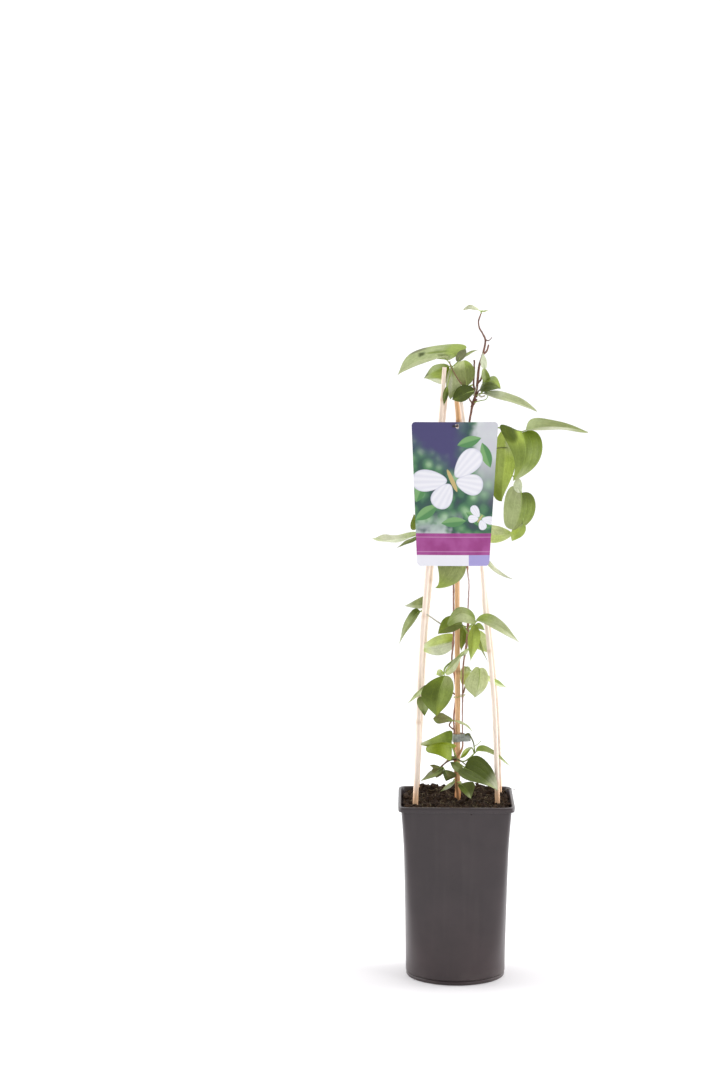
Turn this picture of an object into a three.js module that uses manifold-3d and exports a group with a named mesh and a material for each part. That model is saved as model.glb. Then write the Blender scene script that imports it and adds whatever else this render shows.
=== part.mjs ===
// Clematis on a five-cane bamboo pyramid, in its square-topped grower's pot.
// Millimetres, +Z up. The origin is the middle of the pot's flat underside on the ground.
// The front, with the plant label, looks along -Y.
import * as THREE from "three";
import Module from "manifold-3d";
import { mergeVertices } from "three/addons/utils/BufferGeometryUtils.js";

const wasm = await Module();
wasm.setup();

// Pot: a square mouth with rounded corners that runs down into a round body.
const POT_HEIGHT = 216;
const POT_WALL = 1.9;
const POT_FLOOR = 3;
const LIP_HALF = 69;
const LIP_HEIGHT = 6.5;
const LIP_INNER = 65.4;
const POT_SIDES = 32;
const CORNER_CROWDING = 0.13;
const DRAIN_COUNT = 6;
const DRAIN_RADIUS = 5;
const DRAIN_RING = 40;
// Half width and squareness (2 is round) of the outside, from the ground up.
const POT_RINGS = [
  { z: 0, half: 58.9, square: 2 },
  { z: 4, half: 59.1, square: 2 },
  { z: 5, half: 58.5, square: 2 },
  { z: 6.2, half: 59.6, square: 2 },
  { z: 48, half: 60.1, square: 3.6 },
  { z: 88, half: 60.7, square: 6.8 },
  { z: 124, half: 61.4, square: 11 },
  { z: 160, half: 62.3, square: 16 },
  { z: 209.5, half: 65.4, square: 18 },
];
// Heights at which the inner wall and the soil follow the outside.
const WALL_HEIGHTS = [48, 88, 124, 160];

// Soil.
const GAP = 0.3;
const SOIL_TOP = 208;
const SOIL_LUMP = 3;
const BACK_BANK = 5;
const SOIL_RINGS = 3;
const SOIL_SEED = 11;

// Bamboo canes: centre line from inside the soil to the top, butt and top radius.
const CANE_DEPTH = 50;
const CANE_SIDES = 7;
const CANE_STEPS = 9;
const CANES = [
  {
    name: "cane_front_left",
    line: [
      [-48, -19, 212], [-45, -18, 282], [-43.5, -16, 360],
      [-37, -13, 467], [-20, -7, 667], [-15, -5, 731],
    ],
    butt: 3.2,
    top: 2.4,
    color: 0xeccfb2,
  },
  {
    name: "cane_back_left",
    line: [
      [-46, 44, 212], [-42.5, 40, 284], [-38, 33, 401],
      [-31, 25, 491], [-16, 11, 667], [-13, 9, 700],
    ],
    butt: 3.1,
    top: 2.3,
    color: 0xe2c09c,
  },
  {
    name: "cane_centre",
    line: [[2.5, 13.5, 212], [2, 13, 331], [1, 12, 467], [1.5, 9, 667], [-2, 8, 706]],
    butt: 3.4,
    top: 2.7,
    color: 0xcf9a63,
  },
  {
    name: "cane_front_right",
    line: [
      [51, -8, 212], [47, -7, 316], [41, -6, 383], [34, -5, 442],
      [30, -4, 494], [8, -1, 667], [3, 0, 698],
    ],
    butt: 3.2,
    top: 2.3,
    color: 0xf0d5ba,
  },
  {
    name: "cane_back_right",
    line: [[52, 42, 212], [48, 38, 313], [38, 32, 416], [30, 27, 489], [5, 18, 667], [1, 17, 700]],
    butt: 3.1,
    top: 2.3,
    color: 0xe3c3a0,
  },
];

// Climbing stems. The low stem leaves the soil and forks at the first node.
const STEM_SIDES = 5;
const STEM_LOW = [[3, 3, 170], [3, 3.5, 211], [1, 3.5, 229], [0, 3.5, 245], [0, 3.5, 260]];
const STEM_MAIN = [
  [0, 3.5, 260], [4, 7, 266], [8, 12, 274], [8, 12, 290], [8, 12, 336], [9, 11, 378], [12, 10, 396],
  [14, 9, 417], [14, 9, 443], [15, 9, 471], [13, 9, 492], [14, 9, 549], [14, 8, 608], [14, 7, 658],
  [17, 6, 679], [19, 6, 688], [22, 5, 698], [24, 5, 713], [26, 5, 732], [30, 5, 745], [33, 5, 763],
  [30, 4, 770], [26, 4, 777], [25, 4, 785], [28, 4, 794],
];
const STEM_SIDE = [
  [0, 3.5, 260], [-1.5, 6.5, 269], [-1.8, 9, 279], [-1.8, 9.2, 292], [-4, 14, 308], [0, 20, 337],
  [-3, 18, 364], [-5, 15, 378], [-4.5, 13, 400], [-4, 12, 415], [-5, 12, 455], [-5, 12, 480],
  [-5, 12, 518],
];
const STEM_STUBS = [
  [[22, 5, 698], [19.5, 3, 710], [20, 3, 725], [20, 3, 739]],
  [[24, 5, 711], [28, 7, 716], [31, 8, 727]],
  [[30, 5, 745], [35, 7, 750], [37, 8, 757]],
  [[33, 5, 763], [37, 4, 762], [41, 3, 766]],
];
const STEM_NODES = [[0, 3.5, 260, 3.4], [14, 9, 417, 2.1], [19, 6, 688, 2.4]];

// Plant label: a printed plastic card, wider at the top, hung by one hole.
const LABEL_THICK = 0.8;
const LABEL_TOP = 667;
const LABEL_BOTTOM = 497;
const LABEL_TOP_SPAN = [-54, 48];
const LABEL_BOTTOM_SPAN = [-47, 38];
const LABEL_CORNER = 5;
const LABEL_HOLE = { x: -0.5, z: 662.4, radius: 2.1 };
const LABEL_DEPTH = -23;
const LABEL_BOW = 3;

// Ties.
const TAPE = { z: 281, height: 10, reach: 15, end: 18 };
const WIRE_TIE = { z: 336, radius: 0.5, half: [6.9, 5.3], centre: [4.2, 12.7], turns: 14, sides: 4 };
const LABEL_TIE = { radius: 0.8, bar: 5.5, barRadius: 1.1, loop: 4.6 };

// Leaf blades.
const BLADE_THICK = 0.7;
const BLADE_ROWS = 5;
const BLADE_COLUMNS = 4;
const ROW_CROWDING = 1.3;
const SMALL_BLADE = 17.5;
const TINY_BLADE = 10.5;
const STALK_RADIUS = 0.85;
const STALK_SIDES = 4;
// Where the widest part lies, how far the base lobes reach back, how blunt base and tip are.
const FORMS = {
  heart: { peak: 0.34, lobe: 0.42, base: 0.62, tip: 1.15 },
  oval: { peak: 0.42, lobe: 0.08, base: 0.7, tip: 1.1 },
  broad: { peak: 0.32, lobe: 0.12, base: 0.6, tip: 1.2 },
  lance: { peak: 0.38, lobe: 0, base: 0.85, tip: 1.3 },
};
const LEAVES = [
  {
    name: "tip_leaf",
    stalk: [[28, 4, 794], [28, 4, 797]],
    blades: [
      { base: [27, 4, 797], tip: [8, 0, 799], face: [0, -0.5, 0.85], width: 9, form: "oval", arch: 0.18 },
      { base: [28, 4, 796], tip: [37, 6, 797], face: [0, -0.4, 0.9], width: 5, form: "lance" },
    ],
  },
  {
    name: "crown_left_leaf",
    stalk: [[19, 3, 710], [13, 9, 708], [5, 10, 710], [-3, 6, 720], [-6, 0, 731]],
    blades: [
      {
        base: [-9, -3, 735], tip: [-71, -25, 720], face: [0, -0.6, 0.8],
        width: 29, form: "heart", arch: 0.3, fold: 18, peak: 0.4, lobe: 0.85,
      },
      {
        base: [-10, 6, 731], tip: [-39, 11, 718], face: [-0.1, -0.7, 0.7],
        width: 27, form: "oval", fold: -26, arch: 0.1,
      },
      {
        base: [-5, -1, 729], tip: [-9, -7, 697], face: [0.15, -0.95, 0.1],
        width: 13, form: "oval", fold: -12,
      },
      { base: [0, 1, 737], tip: [24, 8, 751], face: [-0.2, 0.4, 0.9], width: 13, form: "lance", fold: 12 },
      { base: [-10, -11, 709], tip: [-16, -12, 687], face: [-0.8, -0.5, 0.1], width: 9, form: "lance" },
    ],
  },
  {
    name: "crown_middle_leaf",
    stalk: [[21, 5, 698], [15, 0, 704], [11, -3, 707]],
    blades: [
      {
        base: [11, -3, 709], tip: [8, -4, 738], face: [0.2, -0.9, 0.3],
        width: 24, form: "oval", fold: -10, arch: 0.06, blunt: 0.8,
      },
      {
        base: [19, -4, 703], tip: [-3, -14, 693], face: [-0.2, -0.9, 0.1],
        width: 22, form: "oval", fold: -15, arch: 0.1,
      },
    ],
  },
  {
    name: "crown_right_leaf",
    stalk: [[22, 5, 696], [26, 2, 699], [29, 0, 700]],
    twig: [[20, 4, 689], [32, -2, 690], [36, -2, 696], [34, -2, 699]],
    blades: [
      {
        base: [28, 0, 701], tip: [50, -4, 702], face: [0, -0.6, 0.8],
        width: 26, form: "oval", arch: 0.5, fold: -6,
      },
      { base: [36, 6, 712], tip: [30, 3, 744], face: [0.6, 0.6, 0.3], width: 9, form: "lance" },
      {
        base: [34, -2, 699], tip: [92, -20, 678], face: [0.2, -0.35, 0.9],
        width: 20, form: "lance", arch: 0.1, fold: 12,
      },
    ],
  },
  {
    name: "right_upper_leaf",
    stalk: [[14, 6, 658], [39, 3, 660], [65, -6, 657], [76, -9, 655]],
    blades: [
      {
        base: [81, -9, 656], tip: [154, -15, 657], face: [0, -0.4, 0.92],
        width: 28, form: "lance", arch: 0.16, fold: -14, peak: 0.3,
      },
      {
        base: [77, -12, 654], tip: [66, -20, 598], face: [0.1, -0.95, 0.3],
        width: 52, form: "heart", fold: -10, sweep: -0.05, peak: 0.42, lobe: 0.34,
      },
      {
        base: [60, -5, 650], tip: [52, -12, 576], face: [-0.1, -1, 0.1],
        width: 32, form: "oval", fold: -8,
      },
    ],
  },
  {
    name: "right_lower_leaf",
    stalk: [[14, 7, 608], [42, 8, 608], [65, 2, 603], [73, -4, 592], [76, -6, 585]],
    blades: [
      {
        base: [76, -7, 582], tip: [66, -12, 539], face: [0, -1, 0.12],
        width: 38, form: "heart", fold: -16, peak: 0.44, blunt: 0.8, lobe: 0.35,
      },
      { base: [75, -8, 583], tip: [72, -8, 598], face: [-0.3, -0.9, 0.1], width: 10, form: "oval" },
      {
        base: [71, -10, 547], tip: [68, -14, 528], face: [0.1, -0.9, 0.4],
        width: 14, form: "oval", fold: -10,
      },
    ],
  },
  {
    name: "right_label_leaf",
    stalk: [[14, 10, 525], [23, 6, 526], [33, 4, 529]],
    blades: [
      {
        base: [35, 3, 530], tip: [67, -6, 535], face: [0, -0.85, 0.5],
        width: 23, form: "oval", arch: 0.05,
      },
    ],
  },
  {
    name: "left_leaf",
    stalk: [[14, 10, 513], [2, 26, 515], [-17, 28, 528], [-27, 27, 534]],
    blades: [
      {
        base: [-30, 26, 534], tip: [-99, 8, 524], face: [0, -0.16, 1],
        width: 22, form: "lance", arch: 0.05, ripple: 1.6, fold: 6,
      },
      { base: [-32, 26, 530], tip: [-70, 14, 516], face: [0, 0.3, 0.95], width: 13, form: "lance" },
      { base: [-33, 24, 544], tip: [-55, 12, 539], face: [-0.2, -0.9, 0.3], width: 17, form: "oval" },
    ],
  },
  {
    name: "under_label_leaf",
    stalk: [[13, 9, 503], [14, 2, 511], [15, -2, 515]],
    blades: [
      {
        base: [12, -6, 513], tip: [-23, -14, 470], face: [0, -1, 0.2],
        width: 38, form: "oval", fold: -8, arch: 0.05, blunt: 0.85,
      },
      {
        base: [22, 8, 510], tip: [66, 8, 477], face: [0.3, -0.1, 0.95],
        width: 15, form: "lance", arch: -0.08,
      },
    ],
  },
  {
    name: "outer_left_leaf",
    stalk: [[-4, 12, 417], [-12, 10, 420], [-23, 8, 427], [-34, 4, 435], [-42, 0, 440]],
    blades: [
      {
        base: [-42, -2, 445], tip: [-62, -12, 449], face: [-0.2, -0.8, 0.55],
        width: 17, form: "broad", sweep: -0.06,
      },
      {
        base: [-45, -3, 440], tip: [-68, -15, 403], face: [-0.5, -0.7, 0.4],
        width: 15, form: "lance", fold: 10,
      },
    ],
  },
  {
    name: "mid_front_leaf",
    stalk: [[14, 9, 417], [17, 0, 423], [23, -10, 429]],
    blades: [
      {
        base: [21, -11, 431], tip: [-10, -18, 427], face: [0, -0.7, 0.7],
        width: 25, form: "oval", arch: 0.3, fold: -10,
      },
      {
        base: [24, -13, 431], tip: [74, -26, 408], face: [0.2, -0.6, 0.75],
        width: 19, form: "lance", arch: 0.1, fold: 8,
      },
      {
        base: [21, -8, 426], tip: [17, -3, 381], face: [0.4, -0.9, 0.2],
        width: 17, form: "lance", fold: 14,
      },
    ],
  },
  {
    name: "mid_low_leaf",
    stalk: [[14, 9, 412], [10, 3, 419], [7, 0, 424]],
    blades: [
      {
        base: [6, -1, 425], tip: [-21, -8, 414], face: [-0.2, -0.75, 0.6],
        width: 20, form: "broad", fold: -10, arch: 0.06,
      },
    ],
  },
  {
    name: "mid_left_leaf",
    stalk: [[-4, 13, 401], [-5, 15, 402]],
    blades: [
      {
        base: [-4, 17, 402], tip: [-41, 20, 396], face: [0, -0.9, 0.4],
        width: 25, form: "broad", fold: -10, peak: 0.4,
      },
    ],
  },
  {
    name: "mid_back_leaf",
    stalk: [[14, 9, 417], [17, 15, 421], [21, 18, 418]],
    blades: [
      { base: [21, 19, 414], tip: [37, 21, 388], face: [-0.2, -0.9, 0.4], width: 20, form: "oval" },
      { base: [24, 14, 417], tip: [38, 12, 378], face: [-0.9, -0.3, 0.2], width: 8, form: "lance" },
      { base: [24, 10, 424], tip: [34, 10, 416], face: [0.1, -0.7, 0.7], width: 8, form: "lance" },
      { base: [13, 18, 419], tip: [9, 16, 391], face: [0, -1, 0.1], width: 12, form: "lance" },
    ],
  },
  {
    name: "large_left_leaf",
    stalk: [[12, 10, 392], [6, 0, 387], [-5, -12, 382], [-14, -22, 375], [-15, -28, 369]],
    blades: [
      {
        base: [-15, -30, 367], tip: [-24, -37, 321], face: [-0.1, -0.95, 0.3],
        width: 40, form: "broad", fold: -9, peak: 0.42, lobe: 0.06,
      },
      { base: [-13, -24, 372], tip: [3, -12, 386], face: [0.3, 0.8, 0.5], width: 14, form: "oval" },
      { base: [-16, -26, 371], tip: [-24, -27, 368], face: [0, -0.8, 0.6], width: 10, form: "oval" },
      { base: [7, 0, 387], tip: [16, 3, 396], face: [-0.3, -0.8, 0.5], width: 6, form: "lance" },
    ],
  },
  {
    name: "hidden_left_leaf",
    stalk: [[-1, 20, 337], [-12, 6, 346], [-24, -10, 350], [-34, -22, 349]],
    blades: [
      { base: [-37, -23, 350], tip: [-58, -27, 335], face: [-0.4, -0.1, 0.9], width: 10, form: "lance" },
      { base: [-38, -24, 339], tip: [-37, -26, 318], face: [-0.1, -0.95, 0.2], width: 14, form: "oval" },
    ],
  },
  {
    name: "right_mid_leaf",
    stalk: [[9, 12, 340], [12, 5, 352], [20, 1, 367]],
    blades: [
      {
        base: [26, -1, 370], tip: [20, -6, 337], face: [-0.1, 0.95, 0.1],
        width: 28, form: "heart", fold: 8, lobe: 0.25,
      },
      { base: [17, 13, 366], tip: [9, 19, 345], face: [0, -0.95, 0.2], width: 12, form: "oval" },
      { base: [31, 10, 368], tip: [61, 12, 347], face: [0.3, -0.4, 0.9], width: 10, form: "lance" },
    ],
  },
  {
    name: "small_low_leaf",
    stalk: [[-2, 12, 295], [-8, 5, 302], [-5, 2, 308]],
    blades: [
      {
        base: [-6, 0, 308], tip: [-25, -10, 313], face: [0, -0.6, 0.8],
        width: 15, form: "broad", ripple: 0.8,
      },
      {
        base: [-2, 1, 308], tip: [20, -4, 295], face: [0.3, -0.15, 1],
        width: 9, form: "lance", arch: 0.12,
      },
    ],
  },
  {
    name: "yellow_left_leaf",
    stalk: [[0, 4, 264], [-2, 0, 270], [-4, -3, 276]],
    blades: [
      {
        base: [-5, -4, 278], tip: [-51, -8, 281], face: [0, -0.92, 0.35],
        width: 38, form: "broad", fold: -14, arch: 0.03, ripple: 1.2, peak: 0.2,
      },
    ],
  },
  {
    name: "right_low_leaf",
    stalk: [[1, 4, 260], [10, 1, 259], [18, 3, 264], [22, 4, 268]],
    twig: [[22, 4, 268], [21, 2, 277], [30, -2, 284]],
    blades: [
      {
        base: [24, 4, 272], tip: [66, 12, 252], face: [0.2, -0.4, 0.9],
        width: 14, form: "lance", arch: 0.14,
      },
      { base: [8, 2, 264], tip: [19, 4, 274], face: [-0.2, -0.8, 0.5], width: 8, form: "lance" },
    ],
  },
  {
    name: "low_right_leaf",
    stalk: [[0, 4, 259], [4, -4, 257], [10, -11, 254]],
    blades: [
      {
        base: [12, -13, 253], tip: [48, -28, 231], face: [0.1, -0.55, 0.83],
        width: 45, form: "heart", fold: 22, arch: 0.06, lobe: 0.3,
      },
      {
        base: [11, -13, 252], tip: [-6, -10, 257], face: [0, -0.9, 0.4],
        width: 13, form: "oval", fold: 10,
      },
    ],
  },
  {
    name: "low_left_leaf",
    stalk: [[-1, 4, 261], [-8, -2, 262], [-13, -6, 258], [-17, -8, 255]],
    blades: [
      {
        base: [-18, -9, 254], tip: [-42, -12, 238], face: [-0.2, -0.6, 0.75],
        width: 15, form: "lance", fold: 8,
      },
      { base: [-19, -8, 255], tip: [-31, -11, 257], face: [0, -0.7, 0.7], width: 7, form: "lance" },
      { base: [-18, -10, 253], tip: [-23, -15, 243], face: [0, -0.85, 0.5], width: 12, form: "oval" },
      {
        base: [-14, -8, 252], tip: [-10, -12, 236], face: [0.1, -0.85, 0.5],
        width: 14, form: "oval", sweep: 0.08,
      },
      { base: [-10, -3, 261], tip: [0, -5, 266], face: [0, -0.7, 0.7], width: 6, form: "lance" },
    ],
  },
  {
    name: "base_right_leaf",
    stalk: [[1, 4, 232], [4, -2, 234], [6, -6, 234]],
    blades: [
      { base: [7, -8, 233], tip: [20, -16, 219], face: [0, -0.8, 0.6], width: 16, form: "oval", fold: -8 },
    ],
  },
  {
    name: "base_left_leaf",
    stalk: [[0, 4, 237], [-3, 0, 236]],
    blades: [
      { base: [-4, -1, 235], tip: [-17, -9, 225], face: [0.2, 0.6, 0.8], width: 7, form: "lance" },
    ],
  },
];

function vec(point) {
  return new THREE.Vector3(point[0], point[1], point[2]);
}

function material(name, color, roughness) {
  const made = new THREE.MeshStandardMaterial({ color, roughness, metalness: 0 });
  made.name = name;
  return made;
}

// A closed solid from a list of points and triangles.
function solidFrom(points, faces) {
  const geometry = new THREE.BufferGeometry();
  const positions = points.flatMap((p) => [p.x, p.y, p.z]);
  geometry.setAttribute("position", new THREE.Float32BufferAttribute(positions, 3));
  geometry.setIndex(faces);
  return solidOf(geometry);
}

function solidOf(source) {
  const geometry = source.clone();
  geometry.deleteAttribute("normal");
  geometry.deleteAttribute("uv");
  const merged = mergeVertices(geometry, 1e-4);
  const mesh = new wasm.Mesh({
    numProp: 3,
    vertProperties: new Float32Array(merged.attributes.position.array),
    triVerts: new Uint32Array(merged.index.array),
  });
  return new wasm.Manifold(mesh);
}

function fuse(solids) {
  return solids.reduce((whole, one) => whole.add(one));
}

function largestBody(solid) {
  const bodies = solid.decompose();
  bodies.sort((a, b) => Math.abs(b.volume()) - Math.abs(a.volume()));
  return bodies[0];
}

function meshOf(solid, name, look) {
  const data = solid.getMesh();
  const geometry = new THREE.BufferGeometry();
  geometry.setAttribute("position", new THREE.BufferAttribute(new Float32Array(data.vertProperties), 3));
  geometry.setIndex(Array.from(data.triVerts));
  geometry.computeVertexNormals();
  const mesh = new THREE.Mesh(geometry, look);
  mesh.name = name;
  return mesh;
}

// Joins rings of equal length into a closed skin; the first and last ring are capped by a fan.
function skin(rings) {
  const count = rings[0].length;
  const points = rings.flat();
  const faces = [];
  for (let r = 0; r + 1 < rings.length; r += 1) {
    for (let i = 0; i < count; i += 1) {
      const a = r * count + i;
      const b = r * count + ((i + 1) % count);
      faces.push(a, b, b + count, a, b + count, a + count);
    }
  }
  const first = points.length;
  points.push(middleOf(rings[0]), middleOf(rings[rings.length - 1]));
  const last = (rings.length - 1) * count;
  for (let i = 0; i < count; i += 1) {
    const j = (i + 1) % count;
    faces.push(first, j, i);
    faces.push(first + 1, last + i, last + j);
  }
  return solidFrom(points, faces);
}

function middleOf(ring) {
  const sum = new THREE.Vector3();
  ring.forEach((p) => sum.add(p));
  return sum.multiplyScalar(1 / ring.length);
}

// A round rod along a smooth line; radiusAt takes 0 at the start and 1 at the end.
function rod(line, radiusAt, sides, steps) {
  const curve = new THREE.CatmullRomCurve3(line.map(vec), false, "centripetal");
  const rings = [];
  let across = null;
  for (let s = 0; s <= steps; s += 1) {
    const t = s / steps;
    const centre = curve.getPoint(t);
    const along = curve.getTangent(t);
    if (!across) {
      const guide = Math.abs(along.z) > 0.9 ? new THREE.Vector3(0, 1, 0) : new THREE.Vector3(0, 0, 1);
      across = new THREE.Vector3().crossVectors(along, guide);
    }
    across.addScaledVector(along, -across.dot(along)).normalize();
    const up = new THREE.Vector3().crossVectors(along, across);
    const ring = [];
    for (let i = 0; i < sides; i += 1) {
      const angle = (2 * Math.PI * i) / sides;
      const point = centre.clone();
      point.addScaledVector(across, Math.cos(angle) * radiusAt(t));
      point.addScaledVector(up, Math.sin(angle) * radiusAt(t));
      ring.push(point);
    }
    rings.push(ring);
  }
  return skin(rings);
}

function ball(centre, radius, sides) {
  const rings = [];
  const levels = 2;
  for (let level = 0; level <= levels; level += 1) {
    const angle = -Math.PI / 2 + (Math.PI * (level + 0.35)) / (levels + 0.7);
    const ring = [];
    for (let i = 0; i < sides; i += 1) {
      const turn = (2 * Math.PI * i) / sides;
      const out = Math.cos(angle) * radius;
      const height = Math.sin(angle) * radius * 1.25;
      const offset = new THREE.Vector3(out * Math.cos(turn), out * Math.sin(turn), height);
      ring.push(offset.add(centre));
    }
    rings.push(ring);
  }
  return skin(rings);
}

// ---- pot ----

function squareRing(z, half, square, sides) {
  const ring = [];
  for (let i = 0; i < sides; i += 1) {
    const even = (2 * Math.PI * i) / sides;
    const angle = even + CORNER_CROWDING * Math.sin(4 * even);
    const c = Math.abs(Math.cos(angle));
    const s = Math.abs(Math.sin(angle));
    const radius = half / (c ** square + s ** square) ** (1 / square);
    ring.push(new THREE.Vector3(radius * Math.cos(angle), radius * Math.sin(angle), z));
  }
  return ring;
}

// Half width and squareness of the pot's outside at a height.
function potAt(z) {
  let upper = POT_RINGS.findIndex((ring) => ring.z >= z);
  if (upper < 1) {
    upper = upper === 0 ? 1 : POT_RINGS.length - 1;
  }
  const a = POT_RINGS[upper - 1];
  const b = POT_RINGS[upper];
  const t = (z - a.z) / (b.z - a.z);
  return { half: a.half + (b.half - a.half) * t, square: a.square + (b.square - a.square) * t };
}

function potRingInside(z, inset) {
  const at = potAt(z);
  return squareRing(z, at.half - inset, at.square, POT_SIDES);
}

function makePot() {
  const lipFoot = POT_HEIGHT - LIP_HEIGHT;
  const outside = POT_RINGS.map((ring) => squareRing(ring.z, ring.half, ring.square, POT_SIDES));
  outside.push(squareRing(lipFoot + 0.1, LIP_HALF - 0.2, 16, POT_SIDES));
  outside.push(squareRing(POT_HEIGHT - 0.8, LIP_HALF, 16, POT_SIDES));
  outside.push(squareRing(POT_HEIGHT, LIP_HALF - 0.8, 16, POT_SIDES));
  const body = skin(outside);
  const heights = [POT_FLOOR, ...WALL_HEIGHTS, 206];
  const inside = heights.map((z) => potRingInside(z, POT_WALL));
  inside.push(squareRing(POT_HEIGHT - 3, LIP_INNER - 0.4, 16, POT_SIDES));
  inside.push(squareRing(POT_HEIGHT + 2, LIP_INNER, 16, POT_SIDES));
  let pot = body.subtract(skin(inside));
  for (let i = 0; i < DRAIN_COUNT; i += 1) {
    const angle = (2 * Math.PI * (i + 0.5)) / DRAIN_COUNT;
    const hole = new THREE.CylinderGeometry(DRAIN_RADIUS, DRAIN_RADIUS, 12, 7);
    hole.rotateX(Math.PI / 2);
    hole.translate(DRAIN_RING * Math.cos(angle), DRAIN_RING * Math.sin(angle), 0);
    pot = pot.subtract(solidOf(hole));
  }
  return meshOf(pot, "pot", material("pot_plastic", 0x504c4e, 0.5));
}

// ---- soil ----

function lumpNoise(x, y) {
  const a = Math.sin(x * 0.21 + SOIL_SEED) * Math.cos(y * 0.17 - 0.6 * SOIL_SEED);
  const b = Math.sin(x * 0.47 - y * 0.39 + 2.1 * SOIL_SEED);
  return 0.62 * a + 0.38 * b;
}

function soilTopAt(x, y) {
  const backBank = BACK_BANK * Math.max(0, y / 60) ** 1.5;
  return SOIL_TOP + SOIL_LUMP * (lumpNoise(x, y) * 0.8 + 0.5) + backBank;
}

function soilRing(z, inset) {
  const at = potAt(z);
  return squareRing(z, at.half - inset, at.square, POT_SIDES);
}

function makeSoil(cutters) {
  const inset = POT_WALL + GAP;
  const heights = [POT_FLOOR + GAP, ...WALL_HEIGHTS, 204];
  const rings = heights.map((z) => soilRing(z, inset));
  const rim = squareRing(0, potAt(204).half - inset, potAt(204).square, POT_SIDES);
  for (let r = SOIL_RINGS; r >= 1; r -= 1) {
    const share = r / (SOIL_RINGS + 0.6) + (r === SOIL_RINGS ? 0.06 : 0);
    rings.push(rim.map((p) => {
      const [x, y] = [p.x * share, p.y * share];
      return new THREE.Vector3(x, y, soilTopAt(x, y));
    }));
  }
  let soil = skin(rings);
  cutters.forEach((cutter) => {
    soil = soil.subtract(cutter);
  });
  return meshOf(largestBody(soil), "soil", material("potting_soil", 0x2a201a, 0.98));
}

// ---- canes ----

function caneRadius(cane) {
  return (t) => cane.butt + (cane.top - cane.butt) * t;
}

function caneLine(cane) {
  const foot = cane.line[0];
  const next = cane.line[1];
  const slope = CANE_DEPTH / (next[2] - foot[2]);
  const buried = [0, 1].map((k) => foot[k] + (next[k] - foot[k]) * slope * 0.2);
  return [[buried[0], buried[1], foot[2] - CANE_DEPTH], ...cane.line];
}

function caneSolid(cane, extra, steps) {
  const radiusAt = caneRadius(cane);
  return rod(caneLine(cane), (t) => radiusAt(t) + extra, CANE_SIDES, steps);
}

function makeCane(cane) {
  return meshOf(caneSolid(cane, 0, CANE_STEPS), cane.name, material(cane.name, cane.color, 0.6));
}

// ---- stems ----

function stemSolids(extra) {
  const low = rod(STEM_LOW, (t) => 2.3 - 0.5 * t + extra, STEM_SIDES, 5);
  const main = rod(STEM_MAIN, (t) => 1.25 - 0.35 * t + extra, STEM_SIDES, 26);
  const side = rod(STEM_SIDE, (t) => 1.15 - 0.3 * t + extra, STEM_SIDES, 11);
  const stubs = STEM_STUBS.map((line, i) => {
    const start = i < 3 ? 1.0 : 0.75;
    return rod(line, (t) => start - 0.2 * t + extra, STEM_SIDES, 2);
  });
  const nodes = STEM_NODES.map((n) => ball(vec(n), n[3] * 0.8 + extra, STEM_SIDES));
  return fuse([low, main, side, ...stubs, ...nodes]);
}

function makeStems() {
  return meshOf(largestBody(stemSolids(0)), "climbing_stems", material("stem_bark", 0x6b4436, 0.75));
}

// ---- label and ties ----

function labelDepthAt(x) {
  const middle = (LABEL_TOP_SPAN[0] + LABEL_TOP_SPAN[1]) / 2;
  const half = (LABEL_TOP_SPAN[1] - LABEL_TOP_SPAN[0]) / 2;
  return LABEL_DEPTH + LABEL_BOW * (((x - middle) / half) ** 2);
}

function labelOutline() {
  const corners = [
    [LABEL_TOP_SPAN[0], LABEL_TOP],
    [LABEL_BOTTOM_SPAN[0], LABEL_BOTTOM],
    [LABEL_BOTTOM_SPAN[1], LABEL_BOTTOM],
    [LABEL_TOP_SPAN[1], LABEL_TOP],
  ].map((c) => new THREE.Vector2(c[0], c[1]));
  const shape = new THREE.Shape();
  corners.forEach((corner, i) => {
    const before = corners[(i + 3) % 4].clone().sub(corner).setLength(LABEL_CORNER).add(corner);
    const after = corners[(i + 1) % 4].clone().sub(corner).setLength(LABEL_CORNER).add(corner);
    if (i === 0) {
      shape.moveTo(before.x, before.y);
    } else {
      shape.lineTo(before.x, before.y);
    }
    shape.quadraticCurveTo(corner.x, corner.y, after.x, after.y);
  });
  return shape;
}

// The card is cut from a bowed slab so that its front and back stay the same distance apart.
function makeLabel() {
  const shape = labelOutline();
  const hole = new THREE.Path();
  hole.absarc(LABEL_HOLE.x, LABEL_HOLE.z, LABEL_HOLE.radius, 0, 2 * Math.PI, true);
  shape.holes.push(hole);
  const cookie = new THREE.ExtrudeGeometry(shape, { depth: 20, bevelEnabled: false, curveSegments: 6 });
  cookie.rotateX(Math.PI / 2);
  cookie.translate(0, LABEL_DEPTH + 10, 0);
  const columns = 8;
  const rings = [];
  for (let i = 0; i <= columns; i += 1) {
    const x = -60 + (120 * i) / columns;
    const y = labelDepthAt(x);
    rings.push([
      new THREE.Vector3(x, y - LABEL_THICK / 2, LABEL_BOTTOM - 5),
      new THREE.Vector3(x, y + LABEL_THICK / 2, LABEL_BOTTOM - 5),
      new THREE.Vector3(x, y + LABEL_THICK / 2, LABEL_TOP + 5),
      new THREE.Vector3(x, y - LABEL_THICK / 2, LABEL_TOP + 5),
    ]);
  }
  const card = skin(rings).intersect(solidOf(cookie));
  return meshOf(card, "plant_label", material("label_card", 0xf2f2f4, 0.35));
}

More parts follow.
